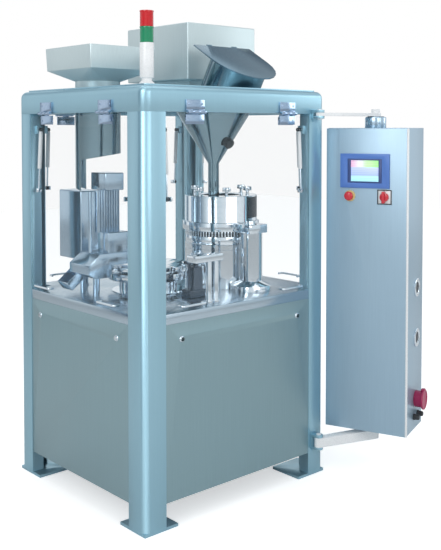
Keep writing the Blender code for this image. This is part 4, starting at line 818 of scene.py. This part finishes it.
tube_foot = spot(0.679, 0.2817, 1.715)
mouth = tube_foot + Matrix.Rotation(LEAN, 3, "X") @ Vector((0, 0, 0.166))
hopper = skin_through([
    (level(1.235), SPOUT_RADIUS, SPOUT_RADIUS, 0),
    (level(CONE_LOW), SPOUT_RADIUS, SPOUT_RADIUS, 0),
    (level(CONE_HIGH), CONE_RADIUS, CONE_RADIUS, 0),
    (level(1.667), CONE_RADIUS, CONE_RADIUS, 0),
    (tube_foot, TUBE_RADIUS, TUBE_RADIUS / math.cos(LEAN), 0),
    (mouth, TUBE_RADIUS, TUBE_RADIUS, LEAN)], 0.0028)
# The hopper's finish carries painted shade: its colour is darkened for the dark surroundings the polished
# cone mirrors.
done([hopper], "powder_hopper_skin", cone_steel, "frame", 0.0, ["powder_hopper"])
slope = (CONE_RADIUS - SPOUT_RADIUS) / (CONE_HIGH - CONE_LOW)
outward = Vector((0, -1, -slope)).normalized()
on_cone = Vector((0, -(SPOUT_RADIUS + (SENSOR_LEVEL - CONE_LOW) * slope), SENSOR_LEVEL))
sensor_foot = CONE + on_cone - outward * 0.001
sensor = rod_piece(sensor_foot, sensor_foot + outward * 0.0295, 0.023, 40)
collar = rod_piece(sensor_foot, sensor_foot + outward * 0.012, 0.0229, 6)
done([sensor, collar], "level_sensor", black_rubber, "frame", 0.0012)
print("mouth at", [round(v, 3) for v in mouth])

# %% [markdown]
# ## Dosing drum and guide pillar
# These are plain turned work, so each is a profile spun about its axis. Where the pillar's flared foot
# meets the drum it is cut to the drum's curve, as the real foot is milled.

# %% Dosing drum and guide pillar
DRUM = spot(*DOSING, 0)
PILLAR = spot(0.71, 0.162, 0)
drum = turned_piece([(0.0255, SEAT), (0.166, SEAT), (0.166, 1.0205), (0.1645, 1.0213), (0.1645, 1.0227),
                     (0.166, 1.0235), (0.166, 1.044), (0.165, 1.045), (0.0255, 1.045), (0.0255, SEAT)], DRUM,
                    steps=128)
done([drum], "drum", mirror_steel, "frame", 0.0, ["dosing_housing"])
pillar = turned_piece([(0.0205, SEAT), (0.0895, SEAT), (0.0895, 0.8725), (0.0885, 0.8742), (0.0526, 0.8915),
                       (0.051, 0.8935), (0.051, 1.1065), (0.0495, 1.108), (0.0205, 1.108), (0.0205, SEAT)],
                      PILLAR, steps=112)
cut_away(pillar, rod_piece(DRUM + Vector((0, 0, 0.84)), DRUM + Vector((0, 0, 0.91)), 0.1668, 128))
done([pillar], "pillar", mirror_steel, "frame", 0.0, ["guide_pillar"])
print("drum and pillar", len(drum.data.polygons), len(pillar.data.polygons))

# %% [markdown]
# ## Tamping head
# The head is the finest work on the table: a turned flange and drum, a ring of narrow teeth under the
# flange, and a lug with a guide rod that slides in the pillar. The teeth could be cut from a ring one by
# one. Instead one tooth is a bevelled bar, and Spin with duplicates on sets it round the ring.

# %% Tamping head
TEETH = 72
HEAD_LOW, HEAD_TOP = 1.105, 1.2609
head = turned_piece([(0.088, HEAD_LOW), (0.1765, HEAD_LOW), (0.177, 1.1056), (0.177, 1.1425),
                     (0.1755, 1.1439), (0.166, 1.144), (0.166, 1.2595), (0.165, HEAD_TOP),
                     (0.088, HEAD_TOP), (0.088, 1.255), (0.16, 1.255), (0.16, 1.144), (0.088, 1.144),
                     (0.088, HEAD_LOW)], DRUM, steps=128)
lug = box_piece((-0.055, -0.055, 1.1055), (0.055, 0.055, 1.142))
placed(lug, Matrix.Translation(PILLAR))
choose_edges(lug, lambda a, b: abs(a.z - b.z) > 0.01)
bpy.ops.mesh.bevel(offset=0.012, segments=5)
bpy.ops.object.mode_set(mode="OBJECT")
cut_away(lug, rod_piece(PILLAR + Vector((0, 0, 1.09)), PILLAR + Vector((0, 0, 1.1089)), 0.0517, 96))
rod = rod_piece(PILLAR + Vector((0, 0, 0.943)), PILLAR + Vector((0, 0, 1.156)), 0.0199, 48)
done([head, lug, rod], "tamping_drum", mirror_steel, "tamping_head", 0.0006,
     ["tamping_head"])

tooth = box_piece((0.1562, -0.0035, 1.0802), (0.165, 0.0035, 1.1052))
choose_edges(tooth, lambda a, b: min(a.x, b.x) > 0.164)
bpy.ops.mesh.bevel(offset=0.0012, segments=2)
bpy.ops.mesh.select_all(action="SELECT")
bpy.ops.mesh.spin(dupli=True, steps=TEETH, angle=math.tau, center=(0, 0, 0), axis=(0, 0, 1))
merged()
placed(tooth, Matrix.Translation(DRUM))
sleeve = turned_piece([(0.15, 1.0804), (0.1555, 1.0804), (0.1555, 1.1052), (0.15, 1.1052), (0.15, 1.0804)],
                      DRUM, steps=96)
done([tooth], "toothed_ring", mirror_steel, "tamping_head")
done([sleeve], "tooth_sleeve", black_steel, "tamping_head")
print("teeth", TEETH, "faces", len(tooth.data.polygons))

# %% [markdown]
# Six star knobs hold the head's cover. A knob is a turned disc with five scallops cut from its rim, made
# once and copied. The dark window is a thin turned shell of which only one arc is kept.

# %% Star knobs and dark window
SCALLOPS, KNOBS = 5, 6
SCALLOP_CIRCLE, KNOB_CIRCLE = 0.0235, 0.128


def on_circle(radius, angle, z=0):
    return Vector((radius * math.cos(angle), radius * math.sin(angle), z))


star = turned_piece([(0.0001, HEAD_TOP), (0.0085, HEAD_TOP), (0.0085, 1.264), (0.0066, 1.2665),
                     (0.0066, 1.279), (0.012, 1.2812), (0.0185, 1.283), (0.019, 1.285),
                     (0.019, 1.296), (0.017, 1.3), (0.009, 1.3009), (0.0001, 1.3009)], (0, 0, 0), steps=60)
for k in range(SCALLOPS):
    a = math.tau * (k + 0.5) / SCALLOPS
    scallop_low, scallop_top = on_circle(SCALLOP_CIRCLE, a, 1.27), on_circle(SCALLOP_CIRCLE, a, 1.31)
    cut_away(star, rod_piece(scallop_low, scallop_top, 0.009, 28))
for k in range(KNOBS):
    knob_at = Matrix.Translation(DRUM + on_circle(KNOB_CIRCLE, math.tau * k / KNOBS))
    knob_at = knob_at @ Matrix.Rotation(0.4 * k, 4, "Z")
    done([placed(copied(star), knob_at)], f"star_knob_{k + 1}", mirror_steel, "tamping_head",
         0.0005)
bpy.data.objects.remove(star)
window = turned_piece([(0.1661, 1.16), (0.1667, 1.1605), (0.1667, 1.2545), (0.1661, 1.255), (0.1661, 1.16)],
                      (0, 0, 0), steps=180)
choose_faces(window, lambda middle, normal: not -85 < math.degrees(math.atan2(middle.y, middle.x)) < -42)
bpy.ops.mesh.delete(type="FACE")
bpy.ops.mesh.select_all(action="SELECT")
bpy.ops.mesh.fill_holes(sides=0)
bpy.ops.object.mode_set(mode="OBJECT")
placed(window, Matrix.Translation(DRUM))
done([window], "dark_window", black_steel, "tamping_head")
print("knobs", KNOBS, "window faces", len(window.data.polygons))

# %% [markdown]
# ## Turret base
# The foot of the turret is a turned collar, spun like the drum.

# %% Turret base
TURRET_AT = spot(*TURRET, 0)
turret_foot = turned_piece([(0.0305, SEAT), (0.16, SEAT), (0.16, 0.849), (0.1585, 0.8504), (0.13, 0.8524),
                            (0.13, 0.894), (0.129, 0.895), (0.0305, 0.895), (0.0305, SEAT)], TURRET_AT,
                           steps=112)
done([turret_foot], "turret_foot", mirror_steel, "frame", 0.0, ["turret_base"])
print("turret foot faces", len(turret_foot.data.polygons))

# %% [markdown]
# ## Control cabinet
# The cabinet is a folded steel box with a tray-shaped door. A box with its open face deleted and a wall
# from Solidify gives folded sheet its true inside, which a solid block would not.

# %% Cabinet and door
CABINET_TURN = math.radians(-69.7)
CABINET = Matrix.Translation(spot(1.224, -0.124, 0)) @ Matrix.Rotation(CABINET_TURN, 4, "Z")
HALF_WIDE, FRONT = 0.1875, -0.129
SHEET = 0.002


def folded_box(low, high, open_side):
    """A sheet box open on one side, with its outer folds rounded."""
    piece = box_piece(low, high)
    round_edges(piece, SHEET, 3)
    toward = Vector(open_side)
    choose_faces(piece, lambda middle, normal: normal.dot(toward) > 0.05)
    bpy.ops.mesh.delete(type="FACE")
    return thicken(piece, SHEET)


def fitted(part, name, material, body, edge=0.0, stands_for=()):
    """Put a part that was made upright at the cabinet's place, and finish it."""
    return done([placed(part, CABINET)], name, material, body, edge, stands_for)


shell = folded_box((-HALF_WIDE, -0.1087, 0.204), (HALF_WIDE, 0.129, 1.568), (0, -1, 0))
cut_away(shell, rod_piece((0, 0, 0.19), (0, 0, 0.22), 0.0204, 32),
         rod_piece((0, 0, 1.55), (0, 0, 1.58), 0.0204, 32))
hub = turned_piece([(0.0204, 1.5672), (0.048, 1.5672), (0.048, 1.614), (0.0455, 1.6168), (0.0345, 1.6207),
                    (0.0204, 1.6207), (0.0204, 1.5672)], (0, 0, 0), steps=72)
fitted(shell, "cabinet_body", cabinet_paint, "cabinet", 0.0, ["cabinet_shell"])
fitted(hub, "cabinet_hub", cast_steel, "cabinet", 0.0006)
leaf = folded_box((-HALF_WIDE, FRONT, 0.206), (HALF_WIDE, -0.1092, 1.566), (0, 1, 0))
STOP_X, STOP_Z, SWITCH_X, SWITCH_Z = -0.075, 1.264, 0.086, 1.263
cut_away(leaf, rod_piece((STOP_X, FRONT - 0.01, STOP_Z), (STOP_X, FRONT + 0.01, STOP_Z), 0.0128, 32))
fitted(leaf, "cabinet_leaf", cabinet_paint, "cabinet_door", 0.0, ["cabinet_door"])
strip = rod_piece((HALF_WIDE, -0.125, 0.207), (HALF_WIDE, -0.125, 1.565), 0.0056, 24)
fitted(strip, "cabinet_hinge_strip", white_enamel, "cabinet_door", 0.0006)
print("cabinet", [round(v, 3) for v in CABINET.translation])

# %% [markdown]
# ## Touch panel
# A blue bezel with a navy frame holds a screen. The screen's picture is generic: soft fields of colour
# that run from rose to green on top, lavender in the middle and pale cyan below. It is painted by the
# place on the screen, with colour ramps, so it needs no image.

# %% Touch panel
PANEL_X, PANEL_Z = -0.005, 1.377


def screen_finish():
    """Soft fields of colour by the place on the screen, under gloss."""
    material = surface("screen_glow", (0.6, 0.7, 0.9), (0.5, 0.6, 0.85), (0.1, 0.16), 0.0, 90, 0.0)
    tree = material.node_tree
    shader = tree.nodes["Principled BSDF"]
    place = add(tree, "TexCoord")
    middle = CABINET @ Vector((PANEL_X, FRONT, PANEL_Z))
    turned = Matrix.Rotation(-CABINET_TURN, 3, "Z") @ -middle
    turn_back = add(tree, "Mapping", {"Rotation": (0, 0, -CABINET_TURN), "Location": turned},
                    vector_type="POINT")
    parts = add(tree, "SeparateXYZ")
    across = add(tree, "MapRange", {"From Min": -0.062, "From Max": 0.062})
    up = add(tree, "MapRange", {"From Min": -0.046, "From Max": 0.046})
    top_row, column = add(tree, "ValToRGB"), add(tree, "ValToRGB")
    top_row.color_ramp.interpolation = "EASE"
    ramp(top_row, (0.0, (0.86, 0.52, 0.72)), (0.34, (0.84, 0.86, 0.9)), (0.62, (0.45, 0.85, 0.35)),
         (1.0, (0.3, 0.78, 0.22)))
    ramp(column, (0.0, (0.45, 0.9, 0.95)), (0.24, (0.52, 0.86, 0.96)), (0.27, (0.42, 0.55, 0.9)),
         (0.5, (0.5, 0.6, 0.93)), (0.66, (0.55, 0.64, 0.95)), (1.0, (0.6, 0.7, 0.95)))
    above = add(tree, "MapRange", {"From Min": 0.66, "From Max": 0.7})
    both = add(tree, "MixRGB")
    lines = add(tree, "TexWave", {"Scale": 38.0, "Distortion": 0.0}, wave_type="BANDS", bands_direction="Z")
    rows = add(tree, "MixRGB", {"Fac": 0.16}, blend_type="SOFT_LIGHT")
    wire(tree, (place, "Object", turn_back, "Vector"), (turn_back, 0, parts, 0),
         (parts, "X", across, "Value"), (parts, "Z", up, "Value"),
         (across, "Result", top_row, "Fac"), (up, "Result", column, "Fac"),
         (up, "Result", above, "Value"), (above, "Result", both, "Fac"),
         (column, "Color", both, "Color1"), (top_row, "Color", both, "Color2"),
         (turn_back, 0, lines, "Vector"), (both, 0, rows, "Color1"),
         (lines, "Color", rows, "Color2"), (rows, 0, shader, "Base Color"),
         (rows, 0, shader, "Emission Color"))
    fill(shader, {"Emission Strength": 0.35})
    return material


def frame_ring(outer, inner, near, far):
    """A rectangular frame: a slab with its middle cut out; near and far are its depths before the door."""
    slab = box_piece((PANEL_X - outer[0], FRONT - far, PANEL_Z - outer[1]),
                     (PANEL_X + outer[0], FRONT - near, PANEL_Z + outer[1]))
    hole = box_piece((PANEL_X - inner[0], FRONT - far - 0.01, PANEL_Z - inner[1]),
                     (PANEL_X + inner[0], FRONT - near + 0.01, PANEL_Z + inner[1]))
    return cut_away(slab, hole)


bezel = frame_ring((0.1135, 0.0765), (0.079, 0.0535), 0.0003, 0.0093)
fitted(bezel, "screen_bezel", blue_plastic, "cabinet_door", 0.0016, ["touch_panel"])
inner_frame = frame_ring((0.0788, 0.0533), (0.064, 0.047), 0.0003, 0.0082)
fitted(inner_frame, "screen_frame", navy_plastic, "cabinet_door", 0.0008)
glass = box_piece((PANEL_X - 0.0638, FRONT - 0.0062, PANEL_Z - 0.0468),
                  (PANEL_X + 0.0638, FRONT - 0.0003, PANEL_Z + 0.0468))
fitted(glass, "screen_glass", screen_finish(), "cabinet_door", 0.0006)
print("panel pieces", 3)

# %% [markdown]
# ## Stop button and main switch
# The stop is a turned mushroom on a cream collar. The switch is a turned knob with a grip bar across it,
# on a white plate in a dark frame. The grip is a bar whose ends and top edges are bevelled round.

# %% Stop button and main switch
collar = turned_piece([(0.0128, 0.0002), (0.025, 0.0002), (0.025, 0.006), (0.0228, 0.0098), (0.015, 0.01),
                       (0.0128, 0.0094), (0.0128, 0.0002)], (STOP_X, FRONT, STOP_Z), "-Y", 64)
fitted(collar, "stop_collar", cream_plastic, "cabinet_door")
mushroom = turned_piece([(0.0001, 0.0004), (0.0118, 0.0004), (0.0118, 0.0155), (0.0185, 0.0158),
                         (0.0202, 0.018), (0.0204, 0.0212), (0.0186, 0.025), (0.014, 0.0282),
                         (0.007, 0.0293), (0.0001, 0.0293)], (STOP_X, FRONT, STOP_Z), "-Y", 64)
fitted(mushroom, "stop_mushroom", red_plastic, "emergency_stop", 0.0,
     ["emergency_stop"])


def on_switch(half_wide, half_high, far, near):
    """A slab centred on the switch; far and near are its depths before the door."""
    return box_piece((SWITCH_X - half_wide, FRONT - far, SWITCH_Z - half_high),
                     (SWITCH_X + half_wide, FRONT - near, SWITCH_Z + half_high))


PLATE_HALF = 0.0325
plate = on_switch(PLATE_HALF, PLATE_HALF, 0.004, 0.0002)
fitted(plate, "switch_plate", white_enamel, "cabinet_door", 0.001)
edge_ring = on_switch(PLATE_HALF, PLATE_HALF, 0.0062, 0.0042)
cut_away(edge_ring, on_switch(0.0285, 0.0285, 0.02, 0.0))
fitted(edge_ring, "switch_edge", black_rubber, "cabinet_door", 0.0004)
knob = turned_piece([(0.0001, 0.0045), (0.02, 0.0045), (0.0202, 0.006), (0.0192, 0.016), (0.018, 0.0166),
                     (0.0001, 0.0166)], (SWITCH_X, FRONT, SWITCH_Z), "-Y", 64)
grip = on_switch(0.006, 0.026, 0.034, 0.0105)
choose_edges(grip, lambda a, b: min(a.y, b.y) < FRONT - 0.03 or abs(a.y - b.y) > 0.02)
bpy.ops.mesh.bevel(offset=0.0035, segments=4)
bpy.ops.object.mode_set(mode="OBJECT")
fitted(joined([knob, grip]), "switch_knob", red_plastic, "main_switch", 0.0,
     ["main_switch"])
print("controls on the door", 5)

# %% [markdown]
# ## Side fittings
# On the cabinet's side are a round crimson supply inlet with a spring lid, two cable glands and two
# chrome caps. All are round on the real thing, so each is turned about an axis that points outward.

# %% Side fittings
SIDE_X, SIDE_Y = HALF_WIDE + 0.0001, 0.026
inlet = turned_piece([(0.0001, 0.0), (0.037, 0.0), (0.037, 0.033), (0.0436, 0.035), (0.0455, 0.0375),
                      (0.0455, 0.042), (0.0436, 0.0437), (0.038, 0.0437), (0.037, 0.0412), (0.0001, 0.0412)],
                     (SIDE_X, SIDE_Y, 0.34), "X", 56)
lid_bar = box_piece((SIDE_X + 0.028, SIDE_Y - 0.012, 0.376), (SIDE_X + 0.0434, SIDE_Y + 0.012, 0.388))
fitted(joined([inlet, lid_bar]), "supply_inlet", crimson_plastic, "cabinet", 0.0008)
for number, y in enumerate((-0.03, 0.03), 1):
    gland = turned_piece([(0.0001, 0.0), (0.014, 0.0), (0.014, 0.008), (0.012, 0.009), (0.0118, 0.02),
                          (0.01, 0.0268), (0.006, 0.028), (0.0001, 0.028)],
                         (SIDE_X, SIDE_Y + y, 0.264), "X", 36)
    fitted(gland, f"cable_gland_{number}", black_rubber, "cabinet")
for number, z in enumerate((0.848, 0.62), 1):
    rim = turned_piece([(0.025, 0.0), (0.042, 0.0), (0.0415, 0.0055), (0.037, 0.0078), (0.03, 0.0078),
                        (0.025, 0.005), (0.025, 0.0)], (SIDE_X, SIDE_Y, z), "X", 56)
    fitted(rim, f"side_cap_rim_{number}", mirror_steel, "cabinet")
    face = turned_piece([(0.0001, 0.0), (0.0249, 0.0), (0.0249, 0.0035), (0.012, 0.0048), (0.0001, 0.005)],
                        (SIDE_X, SIDE_Y, z), "X", 48)
    fitted(face, f"side_cap_disc_{number}", black_steel, "cabinet")
print("side fittings", 7)

# %% [markdown]
# ## Panel locks
# The lower panels are held by small key locks. One is turned and its key slot cut, and the copies are set
# on each side with the same function that places the hinges.

# %% Panel locks
LOCK_INSET = 0.183
lock = turned_piece([(0.0001, 0.0001), (0.012, 0.0001), (0.012, 0.003), (0.0105, 0.0045), (0.0092, 0.005),
                     (0.0092, 0.0084), (0.0084, 0.009), (0.0001, 0.009)], (0, 0, 0), "-Y", 48)
cut_away(lock, box_piece((-0.0009, -0.012, -0.0045), (0.0009, -0.006, 0.0045)))
for side, hand, end, half, place in all_ends():
    at = place @ Matrix.Translation((end * (half - LOCK_INSET), 0.002, 0.74))
    done([placed(copied(lock), at)], f"panel_lock_{side}_{hand}", mirror_steel, "frame",
         0.0002)
bpy.data.objects.remove(lock)
print("locks", 8)
